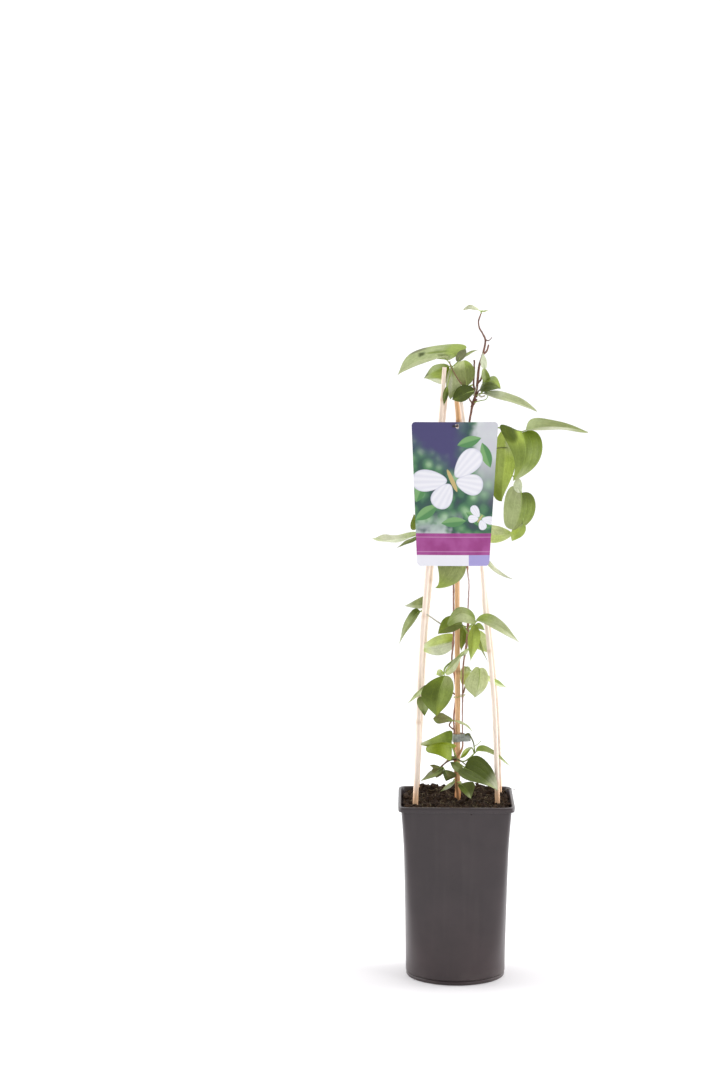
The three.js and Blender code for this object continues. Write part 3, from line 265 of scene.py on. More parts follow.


# Each blade runs from base to tip and looks along face. Its left and right name the tones of its own halves
# from base to tip: darker where a half lies in shade and paler where it catches light, so they hold painted
# shade and painted highlight besides the blade's own colour. Where a trait is a pair, the first is the left
# half's. A mark is a tone, its place along and across the blade, and its length and width; a mark may be
# painted shade. A twig is a tone, a radius and its points.
LEAVES = {
    "tip_leaf": dict(
        stalk=[(28, 4, 794), (28, 4, 797)],
        blades=[
            leaflet((26, -3, 797), (6, -10, 798), (0.03, -0.61, 0.79), 9.2, "oval", lean=-0.08, arch=0.19,
                    sweep=0.03, droop=0.07, peak=(0.45, 0.51), blunt=(0.92, 0.84), left="silver",
                    right="milky silver silver"),
            leaflet((28, 4, 796), (37, 6, 797), (0, -0.4, 0.9), 5, "lance", left="sage sage mist"),
        ],
    ),
    "crown_left_leaf": dict(
        stalk=[(19, 3, 710), (13, 9, 708), (5, 10, 710), (-3, 6, 720), (-6, 0, 731)],
        twigs=[
            ("flushed", 0.75, [(5, -11, 711), (0, -12, 718), (-4, -12, 725), (-8, -8, 732), (-9, -6, 738)]),
        ],
        blades=[
            leaflet((-10, -3, 739), (-70, -25, 720), (-0.1, -0.41, 0.91), 33.4, "heart", lean=-0.26, fold=6,
                    arch=0.12, sweep=0.11, droop=-0.19, peak=(0.56, 0.46), lobe=(0.91, 1.2),
                    blunt=(1.46, 1.28), base_curve=(1.09, 0.45), left="mist mist mist",
                    right="sage sage mist",
                    # The deep line is a painted shadow along the fold and the shade patch at the edge is the
                    # underside in painted shadow; the other ones are lighter and darker green patches.
                    marks=[("meadow", 0.1, 0.75, 0.17, 0.6), ("olive", 0.07, -0.2, 0.06, 0.5),
                           ("olive", 0.18, 0.24, 0.08, 0.1), ("moss", 0.3, 0.48, 0.14, 0.12),
                           ("shade", 0.52, 0.99, 0.12, 0.22), ("deep", 0.485, 0.5, 0.04, 0.24)]),
            leaflet((-10, 4, 732), (-39, 11, 717), (-0.06, -0.81, 0.59), 30.3, "oval", lean=0.24, fold=-26,
                    arch=0.12, droop=-0.03, peak=(0.38, 0.46), lobe=(-0.05, 0.02), blunt=(1.34, 1.01),
                    base_curve=0.75, left="yellow meadow mist", right="fresh sage deep",
                    marks=[("milky", 0.6, -1, 0.3, 0.5)]),
            leaflet((-7, -1, 731), (-8, -7, 693), (-0.03, -0.99, 0.11), 18.3, "oval", lean=0.18, fold=-11,
                    arch=0.01, sweep=-0.04, droop=0.05, peak=0.52, lobe=(-0.2, 0.1), blunt=(1.17, 0.84),
                    base_curve=(0.75, 0.65), left="sage mist sage", right="mist silver mist"),
            leaflet((1, -2, 737), (10, 2, 752), (-0.04, -0.83, 0.55), 10.8, "oval", lean=0.03, fold=4,
                    arch=0.09, sweep=-0.02, droop=-0.03, peak=(0.43, 0.55), lobe=(0.16, 0.1),
                    blunt=(0.94, 1.05), base_curve=0.64, left="shade"),
            leaflet((-12, -14, 709), (-16, -14, 686), (-0.24, -0.97, 0.09), 6.7, "lance", peak=(0.44, 0.41),
                    blunt=1.24, base_curve=0.82, left="mid deep dark", right="dark olive dark"),
            leaflet((6, 0, 742), (25, 4, 751), (-0.07, -0.76, 0.64), 4, "lance", arch=0.07, sweep=-0.03,
                    peak=(0.38, 0.33), lobe=(-0.01, 0.06), left="sage dusty sage", right="mist sage mist"),
        ],
    ),
    "crown_middle_leaf": dict(
        stalk=[(21, 5, 698), (15, 0, 704), (11, -3, 707)],
        blades=[
            leaflet((11, -3, 709), (8, -4, 739), (0.05, -0.95, 0.3), 26.8, "oval", lean=0.12, fold=-13,
                    peak=(0.62, 0.52), lobe=(0.18, 0.08), blunt=0.57, base_curve=(0.41, 0.66),
                    left="bronze dusty cream", right="olive olive meadow"),
            leaflet((20, -4, 703), (-6, -14, 693), (-0.14, -0.99, -0.1), 20.2, "oval", lean=-0.08, fold=-25,
                    sweep=0.04, droop=0.02, peak=(0.53, 0.45), lobe=(0.07, 0.16), blunt=(1.05, 0.93),
                    base_curve=(0.67, 0.64), left="deep deep dark", right="deep"),
        ],
    ),
    "crown_right_leaf": dict(
        stalk=[(22, 5, 696), (26, 2, 699), (29, 0, 700)],
        twigs=[
            ("green", 0.6, [(20, 4, 689), (27, 1, 691), (34, -2, 693), (36, -2, 697), (34, -2, 699)]),
            ("pale", 0.9, [(19, 4, 697), (21, 3, 702), (23, 3, 708)]),
            ("pale", 1.2, [(25, 1, 699), (28, 0, 696), (33, -1, 697)]),
            ("brown", 0.9, [(23, 4, 695), (25, 3, 702), (28, 2, 705)]),
        ],
        blades=[
            leaflet((27, 0, 704), (51, -4, 705), (0.02, -0.47, 0.88), 40.8, "oval", lean=0.2, fold=-14,
                    arch=0.43, droop=-0.07, peak=(0.58, 0.47), lobe=(0.2, 0.06), blunt=(0.72, 1.11),
                    base_curve=(0.55, 0.72), left="deep mid yellow", right="deep deep dark", under="deep"),
            leaflet((32, 4, 728), (30, 3, 748), (0.06, -0.95, 0.31), 7.8, "lance", peak=0.4,
                    lobe=(0.05, 0.11), blunt=(1.2, 1.17), base_curve=(0.82, 0.76), left="milky"),
            leaflet((31, -2, 700), (93, -20, 678), (0.18, -0.42, 0.89), 21.4, "lance", lean=0.07, fold=12,
                    sweep=-0.03, droop=-0.11, peak=(0.4, 0.34), lobe=(0.03, 0.11), blunt=(0.69, 1.27),
                    base_curve=0.8, left="milky mist mist", right="silver mist silver"),
            leaflet((35, 2, 710), (31, 5, 733), (0.06, -0.95, 0.3), 10.1, "lance", lean=-0.05,
                    peak=(0.42, 0.33), lobe=(-0.01, 0.07), blunt=(1.27, 1.24), left="meadow sage pale",
                    right="dark moss mist"),
        ],
    ),
    "right_upper_leaf": dict(
        stalk=[(14, 6, 658), (39, 3, 660), (65, -6, 657), (76, -9, 655)],
        twigs=[
            ("olive", 0.75, [(44, -9, 635), (52, -9, 636), (62, -10, 636)]),
        ],
        blades=[
            leaflet((81, -9, 657), (154, -15, 656), (0, -0.44, 0.9), 31.3, "lance", lean=0.21, fold=11,
                    arch=0.1, sweep=0.05, droop=0.1, peak=(0.1, 0.55), lobe=(-0.02, 0.1), blunt=(1, 0.56),
                    base_curve=(1.05, 0.44), left="sage dusty dusty", right="mist silver dusty"),
            leaflet((76, -12, 654), (66, -20, 598), (0.27, -0.93, 0.27), 51.6, "heart", lean=-0.16,
                    fold=-10, arch=0.15, sweep=-0.12, peak=(0.3, 0.1), lobe=(0.25, 0.16),
                    blunt=(0.79, 0.83), base_curve=(0.71, 1.55), left="mid moss sage",
                    right="bright moss meadow",
                    marks=[("dark", 0.1, 0.75, 0.22, 0.55)]),
            leaflet((57, -6, 660), (49, -12, 573), (-0.45, -0.88, 0.12), 33.6, "oval", lean=-0.21, fold=-5,
                    arch=0, sweep=-0.04, droop=0.53, peak=(0.47, 0.51), lobe=(-0.11, 0.02),
                    blunt=(1.37, 0.35), base_curve=(0.88, 0.73), left="silver bright meadow",
                    right="bright meadow mid"),
        ],
    ),
    "right_lower_leaf": dict(
        stalk=[(14, 7, 608), (42, 8, 608), (65, 2, 603), (73, -4, 592), (76, -6, 585)],
        blades=[
            leaflet((76, -7, 582), (66, -12, 539), (0.12, -0.99, 0.09), 39.9, "heart", lean=-0.06, fold=-16,
                    sweep=-0.08, droop=0.03, peak=(0.43, 0.39), lobe=(0.34, 0.44), blunt=(0.52, 0.35),
                    base_curve=(0.7, 0.65), left="dark moss dusty", right="mist sage sage"),
            leaflet((75, -8, 583), (72, -8, 601), (-0.34, -0.94, 0.1), 11.4, "oval", lean=0.12, sweep=-0.05,
                    droop=0.02, peak=(0.43, 0.53), lobe=(0.12, 0.06), blunt=0.96,
                    left="milky milky silver"),
            leaflet((79, -10, 546), (65, -14, 526), (0.07, -0.9, 0.42), 14.6, "oval", fold=-11, arch=0.02,
                    droop=0.02, peak=(0.41, 0.55), blunt=(0.93, 1), left="meadow meadow bright",
                    right="mist bright pale"),
        ],
    ),
    "right_label_leaf": dict(
        stalk=[(14, 10, 525), (23, 6, 526), (33, 4, 529)],
        blades=[
            leaflet((32, 3, 532), (67, -6, 533), (0, -0.87, 0.5), 23.4, "oval", lean=0.08, fold=3,
                    arch=0.02, sweep=0.03, peak=(0.3, 0.44), lobe=0.18, blunt=(0.71, 0.92),
                    base_curve=(0.69, 0.64), left="cream cream pale", right="pale pale cream"),
        ],
    ),
    "left_leaf": dict(
        stalk=[(14, 10, 513), (2, 26, 515), (-17, 28, 528), (-27, 27, 534)],
        blades=[
            leaflet((-43, 26, 531), (-100, 8, 523), (-0.03, -0.32, 0.95), 21.2, "lance", lean=-0.39, fold=4,
                    arch=-0.19, sweep=0.3, droop=-0.3, peak=(0.29, 0.57), lobe=(0.09, -0.11),
                    blunt=(1.26, 1.04), base_curve=(0.8, 0.3), ripple=1.6, left="mist milky cream",
                    right="sage silver sage"),
            leaflet((-42, 24, 529), (-71, 14, 515), (-0.04, -0.33, 0.94), 9.2, "lance", lean=-0.02, arch=0,
                    droop=0.05, peak=(0.38, 0.46), lobe=(0.1, -0.03), blunt=1.22, base_curve=0.84,
                    left="deep dark olive", right="deep olive olive"),
            leaflet((-47, 24, 537), (-51, 20, 555), (-0.06, -0.99, 0.09), 12.7, "oval", lean=0.16, fold=5,
                    arch=0.1, peak=(0.26, 0.35), lobe=0.14, blunt=1.15, base_curve=(0.75, 0.71),
                    left="moss mid moss", right="mid moss moss"),
        ],
    ),
    "under_label_leaf": dict(
        stalk=[(13, 9, 503), (14, 2, 511), (15, -2, 515)],
        blades=[
            leaflet((-1, -6, 517), (-25, -14, 470), (0.11, -0.98, 0.14), 39.4, "oval", lean=-0.17, fold=-9,
                    arch=0.07, sweep=-0.13, droop=0.02, peak=(0.45, 0.28), lobe=(0.12, -0.04),
                    blunt=(0.61, 1.54), base_curve=(0.69, 0.76), left="meadow dusty meadow"),
            leaflet((33, 8, 507), (67, 10, 477), (0.23, -0.78, 0.58), 6.2, "lance", lean=-0.09, fold=-4,
                    arch=-0.08, sweep=0.06, droop=-0.19, peak=(0.47, 0.37), lobe=(-0.11, 0.05),
                    blunt=(1.06, 1.25), base_curve=(0.74, 0.85), left="silver", right="mist silver silver"),
        ],
    ),
    "outer_left_leaf": dict(
        stalk=[(-4, 12, 417), (-12, 10, 420), (-23, 8, 427), (-34, 4, 435), (-42, 0, 440)],
        stalk_colour="pale",
        blades=[
            leaflet((-37, -2, 447), (-62, -12, 448), (-0.2, -0.81, 0.55), 17.5, "broad", lean=-0.3, fold=22,
                    arch=0.16, sweep=-0.07, droop=-0.02, peak=(0.48, 0.1), lobe=(0.15, 0.06),
                    blunt=(1.07, 0.98), base_curve=(0.57, 0.78), left="dusty mist silver",
                    right="dark dusty milky"),
            leaflet((-44, -3, 441), (-68, -15, 403), (-0.54, -0.73, 0.43), 14.2, "lance", lean=-0.07,
                    fold=19, arch=0.08, droop=-0.03, peak=(0.32, 0.23), lobe=0.09, blunt=1.22,
                    base_curve=(0.85, 0.9), left="dark olive dusty", right="dark sage milky"),
        ],
    ),
    "mid_front_leaf": dict(
        stalk=[(14, 9, 417), (17, 0, 423), (23, -10, 429)],
        blades=[
            leaflet((22, -11, 431), (-11, -18, 427), (-0.03, -0.62, 0.78), 27.2, "oval", lean=-0.04,
                    fold=-9, arch=0.36, sweep=0.05, droop=0.07, peak=(0.32, 0.38), lobe=(-0.09, 0.17),
                    blunt=(0.4, 0.64), base_curve=0.73, left="dusty mist mid", right="mid dusty moss"),
            leaflet((23, -13, 431), (74, -26, 407), (0.17, -0.67, 0.72), 20.7, "lance", lean=0.16, fold=16,
                    arch=0.14, droop=0.07, peak=(0.22, 0.57), blunt=(1.36, 1.24), base_curve=(0.89, 0.85),
                    left="meadow mist mist", right="sage mist silver"),
            leaflet((21, -8, 426), (17, -3, 381), (0.4, -0.9, 0.2), 17, "lance", fold=14,
                    left="fresh bright pale", right="fresh fresh meadow"),
        ],
    ),
    "mid_low_leaf": dict(
        stalk=[(14, 9, 412), (10, 3, 419), (7, 0, 424)],
        blades=[
            leaflet((7, -1, 425), (-22, -8, 414), (-0.13, -0.87, 0.47), 21.4, "broad", lean=-0.24, fold=-7,
                    arch=0.08, sweep=0.09, peak=(0.47, 0.39), lobe=(0.14, 0.18), blunt=(1.05, 0.92),
                    base_curve=(0.51, 0.55), left="olive olive mid", right="olive mid fresh"),
        ],
    ),
    "mid_left_leaf": dict(
        stalk=[(-4, 13, 401), (-5, 15, 402)],
        blades=[
            leaflet((-4, 17, 402), (-45, 20, 392), (0.01, -0.93, 0.37), 24.8, "broad", fold=-10,
                    sweep=-0.03, peak=(0.41, 0.33), lobe=(0.14, 0.21), blunt=(1.08, 1.01),
                    base_curve=(0.6, 0.57), left="milky milky pale", right="bright pale milky"),
        ],
    ),
    "mid_back_leaf": dict(
        stalk=[(14, 9, 417), (17, 15, 421), (21, 18, 418)],
        blades=[
            leaflet((21, 19, 414), (37, 21, 388), (-0.2, -0.9, 0.4), 20, "oval", left="pale cream mist",
                    right="pale"),
            leaflet((24, 14, 417), (38, 12, 378), (-0.9, -0.3, 0.2), 8, "lance", left="olive fresh olive",
                    right="olive moss olive"),
            leaflet((24, 10, 424), (34, 10, 416), (0.1, -0.7, 0.7), 8, "lance", left="mid moss moss"),
            leaflet((9, 18, 421), (6, 16, 390), (0, -1, 0.1), 12, "lance", left="mid mid moss",
                    right="mid meadow bright"),
        ],
    ),
    "large_left_leaf": dict(
        stalk=[(12, 10, 392), (6, 0, 387), (-5, -12, 382), (-14, -22, 375), (-15, -28, 369)],
        twigs=[
            ("green", 1, [(-15, -24, 368), (-14, -22, 374), (-9, -16, 379), (2, -9, 387), (7, -6, 392)]),
        ],
        blades=[
            leaflet((-14, -30, 367), (-24, -37, 320), (0.12, -0.96, 0.26), 37.3, "broad", lean=-0.12,
                    fold=-10, sweep=0.05, droop=-0.02, peak=(0.4, 0.54), lobe=(0.11, 0.2),
                    blunt=(0.94, 1.04), base_curve=(0.7, 0.83), left="dusty moss fresh",
                    right="mid dark moss"),
            leaflet((-13, -24, 371), (6, -12, 389), (0.24, 0.71, 0.67), 14.6, "oval", lean=0.13, fold=-7,
                    arch=-0.01, sweep=-0.03, droop=0.02, peak=(0.35, 0.46), lobe=(0.18, 0.06), blunt=1.08,
                    left="cream silver milky", right="pale deep deep"),
            leaflet((-16, -26, 371), (-24, -27, 368), (0, -0.8, 0.6), 10, "oval", left="bright sage bright",
                    right="bright cream bright"),
            leaflet((7, 0, 387), (16, 3, 396), (-0.3, -0.8, 0.5), 6, "lance", left="cream",
                    right="silver milky cream"),
        ],
    ),
    "hidden_left_leaf": dict(
        stalk=[(-1, 20, 337), (-12, 6, 346), (-24, -10, 350), (-34, -22, 349)],
        stalk_colour="flushed",
        blades=[
            leaflet((-35, -23, 355), (-58, -27, 334), (-0.33, -0.32, 0.89), 10.3, "lance", arch=-0.01,
                    sweep=-0.02, droop=0.09, peak=(0.48, 0.33), lobe=(0.09, -0.06), blunt=(1.14, 1.18),
                    base_curve=0.81, left="dusty sage mist", right="deep dusty mist"),
            leaflet((-39, -24, 341), (-38, -26, 318), (-0.02, -0.98, 0.21), 14.8, "oval", lean=-0.14,
                    peak=(0.4, 0.28), base_curve=(0.7, 0.77), left="moss sage mid",
                    right="olive dusty dark"),
        ],
    ),
    "right_mid_leaf": dict(
        stalk=[(9, 12, 340), (12, 5, 352), (20, 1, 367)],
        stalk_colour="flushed",
        blades=[
            leaflet((28, -1, 372), (22, -6, 337), (-0.23, 0.96, 0.13), 29.2, "heart", lean=0.15, fold=11,
                    arch=0.01, sweep=0.06, droop=0.02, peak=(0.58, 0.43), lobe=(0.28, 0.22),
                    blunt=(1.38, 1.01), base_curve=(0.41, 0.68), left="pale cream cream",
                    right="cream cream milky"),
            leaflet((12, 19, 371), (8, 19, 347), (0.09, -0.98, 0.19), 12.6, "oval", lean=0.08,
                    peak=(0.35, 0.38), lobe=0.13, blunt=(1.13, 1.01), left="milky pale bright",
                    right="cream cream pale"),
            leaflet((32, 10, 365), (61, 12, 347), (0.29, -0.38, 0.88), 14.2, "lance", lean=-0.02,
                    arch=-0.04, sweep=0.05, droop=0.03, peak=(0.55, 0.48), lobe=(-0.03, -0.07),
                    blunt=(1.3, 1.25), base_curve=(0.9, 0.85), left="cream meadow sage",
                    right="cream cream milky"),
        ],
    ),
    "small_low_leaf": dict(
        stalk=[(-2, 12, 295), (-8, 5, 302), (-5, 2, 308)],
        stalk_colour="flushed",
        blades=[
            leaflet((-4, 0, 308), (-27, -10, 313), (0.05, -0.8, 0.6), 15.3, "broad", lean=-0.05, fold=-2,
                    arch=0, sweep=0.02, droop=0.26, peak=(0.75, 0.56), lobe=0.21, blunt=(0.99, 1.03),
                    base_curve=(0.3, 0.58), ripple=0.8, left="olive bronze olive",
                    right="olive bronze bronze"),
            leaflet((-2, 1, 308), (20, -4, 295), (0.3, -0.15, 1), 9, "lance", arch=0.12, left="mist"),
        ],
    ),
    "yellow_left_leaf": dict(
        stalk=[(0, 4, 264), (-2, 0, 270), (-4, -3, 276)],
        blades=[
            leaflet((-5, -3, 282), (-46, -7, 281), (0.01, -0.97, 0.26), 23.4, "broad", lean=-0.34, fold=-9,
                    sweep=-0.04, peak=0.1, lobe=(0.01, 0.06), blunt=(1.05, 0.94), base_curve=(0.64, 0.71),
                    ripple=1.2, left="yellow yellow dusty", right="mid meadow silver"),
            leaflet((-5, -6, 276), (-36, -9, 277), (0, -1, 0.03), 20.8, "broad", lean=0.7, fold=23,
                    arch=0.32, sweep=0.2, droop=0.09, peak=(0.19, 0.25), lobe=(0, 0.31), blunt=(0.35, 0.79),
                    base_curve=(0.77, 0.53), left="yellow", right="bright yellow fresh"),
        ],
    ),
    "right_low_leaf": dict(
        stalk=[(1, 4, 260), (10, 1, 259), (18, 3, 264), (22, 4, 268)],
        twigs=[
            ("green", 0.55, [(22, 4, 268), (22, 2, 276), (26, 0, 280), (30, -2, 284)]),
            # The olive twig is a stretch of leaf stalk that lies in shade; its dark tone is painted shade.
            ("olive", 1.05, [(11, 9, 289), (15, 10, 291), (18, 8, 287), (21, 6, 281), (22, 4, 275),
                             (23, 4, 268)]),
        ],
        blades=[
            leaflet((24, 4, 271), (65, 12, 251), (0.2, -0.42, 0.89), 15.4, "lance", lean=0.24, fold=11,
                    arch=0.07, sweep=-0.12, droop=-0.03, peak=(0.16, 0.72), blunt=(1.61, 1.38),
                    base_curve=0.94, left="mid olive sage", right="moss dusty sage"),
            leaflet((20, 4, 275), (5, 2, 262), (-0.12, -0.9, 0.42), 6.9, "lance", arch=0.06, sweep=0.05,
                    droop=0.02, peak=(0.64, 0.4), lobe=(-0.05, 0.07), blunt=(1.28, 1.24), base_curve=0.8,
                    left="mid yellow yellow", right="silver pale bright"),
        ],
    ),
    "low_right_leaf": dict(
        stalk=[(0, 4, 259), (4, -4, 257), (10, -11, 254)],
        twigs=[
            ("olive", 1, [(-4, -5, 265), (2, -6, 263), (7, -8, 260), (12, -12, 257)]),
        ],
        blades=[
            leaflet((10, -13, 253), (49, -28, 230), (0.11, -0.54, 0.84), 46, "heart", fold=17, arch=0.07,
                    droop=0.15, peak=0.26, lobe=(0.19, 0.11), blunt=(0.69, 1.32), base_curve=(0.9, 0.73),
                    left="deep deep silver", right="deep deep mist"),
            leaflet((8, -13, 249), (-7, -10, 260), (-0.05, -0.94, 0.35), 10.8, "oval", fold=13,
                    peak=(0.42, 0.45), lobe=0.12, blunt=(1, 0.94), left="olive dusty deep",
                    right="olive olive deep"),
        ],
    ),
    "low_left_leaf": dict(
        stalk=[(-1, 4, 261), (-8, -2, 262), (-13, -6, 258), (-17, -8, 255)],
        stalk_colour="flushed",
        twigs=[
            ("brown", 1.1, [(1, -4, 262), (-7, -4, 261), (-13, -8, 258), (-18, -10, 254)]),
        ],
        blades=[
            leaflet((-16, -9, 253), (-43, -12, 237), (-0.24, -0.53, 0.81), 13.2, "lance", lean=0.08, fold=5,
                    arch=0, sweep=-0.02, droop=0.03, peak=0.32, lobe=(0.11, -0.13), blunt=(1.24, 1.27),
                    base_curve=(0.85, 0.9), left="deep olive dusty", right="shade"),
            leaflet((-19, -8, 253), (-32, -11, 257), (0, -0.67, 0.74), 6.5, "lance", lean=0.06, fold=-5,
                    arch=-0.03, sweep=-0.04, peak=(0.42, 0.37), lobe=(-0.06, 0), left="bronze"),
            leaflet((-17, -8, 253), (-23, -12, 241), (-0.02, -0.86, 0.52), 14.1, "oval", lean=-0.24,
                    sweep=0.05, peak=(0.4, 0.49), blunt=(1.11, 0.73), left="shade bronze bronze"),
            leaflet((-13, -8, 250), (-12, -12, 237), (0.39, -0.76, 0.52), 17.6, "oval", lean=0.42, fold=8,
                    arch=0.1, sweep=-0.07, droop=0.05, peak=(0.49, 0.4), blunt=(1.25, 1.06),
                    base_curve=(0.77, 0.71), left="olive bronze deep", right="deep deep olive"),
            leaflet((-10, -3, 261), (0, -5, 266), (0, -0.7, 0.7), 6, "lance", left="dark"),
        ],
    ),
    "base_right_leaf": dict(
        stalk=[(1, 4, 232), (4, -2, 234), (6, -6, 234)],
        blades=[
            leaflet((5, -8, 233), (18, -16, 217), (0, -0.8, 0.6), 18.9, "oval", lean=0.31, arch=0.12,
                    sweep=-0.08, droop=0.03, peak=(0.37, 0.43), lobe=(-0.09, 0.22), blunt=(1.14, 0.86),
                    base_curve=(0.79, 0.55), left="olive olive dusty", right="dark moss cream"),
        ],
    ),
    "base_left_leaf": dict(
        stalk=[(0, 4, 237), (-3, 0, 236)],
        blades=[
            leaflet((-1, -1, 235), (-19, -9, 224), (-0.06, -0.91, 0.4), 5.3, "lance", arch=0, sweep=-0.02,
                    droop=0.02, peak=(0.43, 0.38), lobe=0.06, blunt=(1.18, 1.21), base_curve=0.82,
                    left="mist milky dusty", right="mist cream dusty"),
        ],
    ),
}


# ---- node trees ----

class Wire:
    """A node socket. Arithmetic on it adds Math nodes to its tree."""

    def __init__(self, tree, socket):
        self.tree = tree
        self.socket = socket

    def maths(self, operation, *values):
        return self.tree.add("ShaderNodeMath", {"operation": operation}, dict(enumerate(values)))

    def __add__(self, other):
        return self.maths("ADD", self, other)

    def __sub__(self, other):
        return self.maths("SUBTRACT", self, other)

    def __rsub__(self, other):
        return self.maths("SUBTRACT", other, self)

    def __mul__(self, other):
        return self.maths("MULTIPLY", self, other)

    def __truediv__(self, other):
        return self.maths("DIVIDE", self, other)

    def __pow__(self, power):
        return self.maths("POWER", self, power)

    def __abs__(self):
        return self.maths("ABSOLUTE", self)

    __radd__ = __add__
    __rmul__ = __mul__

    def sine(self):
        return self.maths("SINE", self)

    def most(self, other):
        return self.maths("MAXIMUM", self, other)

    def between(self, low, high):
        """0 below low, 1 above high and a smooth step between; low may be the larger one."""
        return self.tree.add(
            "ShaderNodeMapRange", {"interpolation_type": "SMOOTHSTEP"},
            {"Value": self, "From Min": low, "From Max": high},
        )


class Tree:
    """A node tree with one way to add a node."""

    def __init__(self, tree):
        self.tree = tree

    def add(self, kind, settings=None, inputs=None, output=0):
        node = self.tree.nodes.new(kind)
        for key, value in (settings or {}).items():
            if key == "stops":
                set_stops(node.color_ramp, value)
            else:
                setattr(node, key, value)
        for key, value in (inputs or {}).items():
            self.feed(node.inputs[key], value)
        return Wire(self, node.outputs[output])

    def feed(self, socket, value):
        if isinstance(value, Wire):
            self.tree.links.new(value.socket, socket)
        else:
            socket.default_value = value


def set_stops(ramp, stops):
    while len(ramp.elements) < len(stops):
        ramp.elements.new(0.5)
    for element, (place, colour) in zip(ramp.elements, stops):
        element.position = place
        element.color = (*colour[:3], 1.0)


def linear(colour):
    """A colour of 0 to 255 in each channel as linear light."""
    shares = [c / 255 for c in colour]
    return tuple(s / 12.92 if s <= 0.04045 else ((s + 0.055) / 1.055) ** 2.4 for s in shares)


def rgba(colour):
    return (*linear(colour), 1.0)


class Finish(Tree):
    """A material whose looks are drawn by nodes."""

    def __init__(self, name):
        self.material = bpy.data.materials.new(name)
        self.material.use_nodes = True
        super().__init__(self.material.node_tree)
        self.tree.nodes.clear()
        self.place = self.add("ShaderNodeTexCoord", output=3)

    def point_value(self, name, output):
        return self.add("ShaderNodeAttribute", {"attribute_name": name}, output=output)

    def split(self, vector):
        node = self.tree.nodes.new("ShaderNodeSeparateXYZ")
        self.feed(node.inputs[0], vector)
        return [Wire(self, socket) for socket in node.outputs]

    def scaled(self, vector, scale):
        return self.add("ShaderNodeMapping", None, {"Vector": vector, "Scale": scale})

    def cloud(self, vector, scale, detail=3.0, roughness=0.55):
        return self.add(
            "ShaderNodeTexNoise", None,
            {"Vector": vector, "Scale": scale, "Detail": detail, "Roughness": roughness},
        )

    def blend(self, share, first, second):
        """first where share is 0, second where it is 1; both are colours."""
        return self.add("ShaderNodeMix", {"data_type": "RGBA"}, {0: share, 6: first, 7: second}, 2)

    def tint(self, share, first, second):
        """first multiplied by second, as far as share says."""
        return self.add(
            "ShaderNodeMix", {"data_type": "RGBA", "blend_type": "MULTIPLY"},
            {0: share, 6: first, 7: second}, 2,
        )

    def finish(self, colour, roughness, height=None, depth=0.0002, **fixed):
        shader = self.tree.nodes.new("ShaderNodeBsdfPrincipled")
        self.feed(shader.inputs["Base Color"], colour)
        self.feed(shader.inputs["Roughness"], roughness)
        for name, value in fixed.items():
            self.feed(shader.inputs[name.replace("_", " ")], value)
        if height is not None:
            bump = self.add("ShaderNodeBump", None, {"Height": height, "Distance": depth})
            self.feed(shader.inputs["Normal"], bump)
        output = self.tree.nodes.new("ShaderNodeOutputMaterial")
        self.tree.links.new(shader.outputs[0], output.inputs["Surface"])
        return self.material


# ---- finishes ----

def pot_finish():
    paint = Finish("pot_moulded_plastic")
    _, _, z = paint.split(paint.place)
    drawn = paint.cloud(paint.scaled(paint.place, (90.0, 90.0, 6.0)), 1.0, 4.0)
    cloudy = paint.cloud(paint.place, 22.0, 3.0)
    grain = paint.cloud(paint.place, 2600.0, 2.0)
    speck = paint.add("ShaderNodeTexVoronoi", None, {"Vector": paint.place, "Scale": 85.0})
    specks = speck.between(0.075, 0.045)
    colour = paint.blend(cloudy.between(0.35, 0.7), rgba((52, 45, 47)), rgba((58, 50, 52)))
    colour = paint.blend(drawn.between(0.5, 0.75) * 0.22, colour, rgba((70, 62, 63)))
    colour = paint.blend(z.between(0.13, 0.0), colour, paint.tint(1.0, colour, rgba((255, 238, 236))))
    dust = z.between(0.02, 0.0) * cloudy.between(0.4, 0.65) * 0.25
    colour = paint.blend(dust, colour, rgba((100, 94, 90)))
    colour = paint.blend(specks * 0.5, colour, rgba((36, 32, 32)))
    roughness = 0.27 + drawn * 0.1 + grain * 0.06
    height = grain * 0.16 + drawn * 0.5
    return paint.finish(colour, roughness, height, 0.00012, Specular_IOR_Level=0.45)


SOIL_STOPS = [(0.25, (16, 10, 6)), (0.48, (42, 28, 18)), (0.64, (72, 52, 34)), (0.82, (124, 102, 72))]


def soil_finish():
    paint = Finish("potting_soil")
    fine = paint.cloud(paint.place, 900.0, 5.0, 0.7)
    coarse = paint.cloud(paint.place, 160.0, 4.0, 0.6)
    colour = paint.add(
        "ShaderNodeValToRGB",
        {"stops": [(place, linear(tone)) for place, tone in SOIL_STOPS]},
        {"Fac": coarse * 0.55 + fine * 0.45},
    )
    return paint.finish(colour, 0.92, fine * 0.6 + coarse, 0.0012, Specular_IOR_Level=0.25)


def fibre_finish():
    paint = Finish("peat_fibre")
    streak = paint.cloud(paint.place, 300.0, 3.0)
    colour = paint.blend(streak.between(0.35, 0.7), rgba((50, 38, 24)), rgba((118, 106, 78)))
    return paint.finish(colour, 0.85, streak, 0.0002, Specular_IOR_Level=0.3)


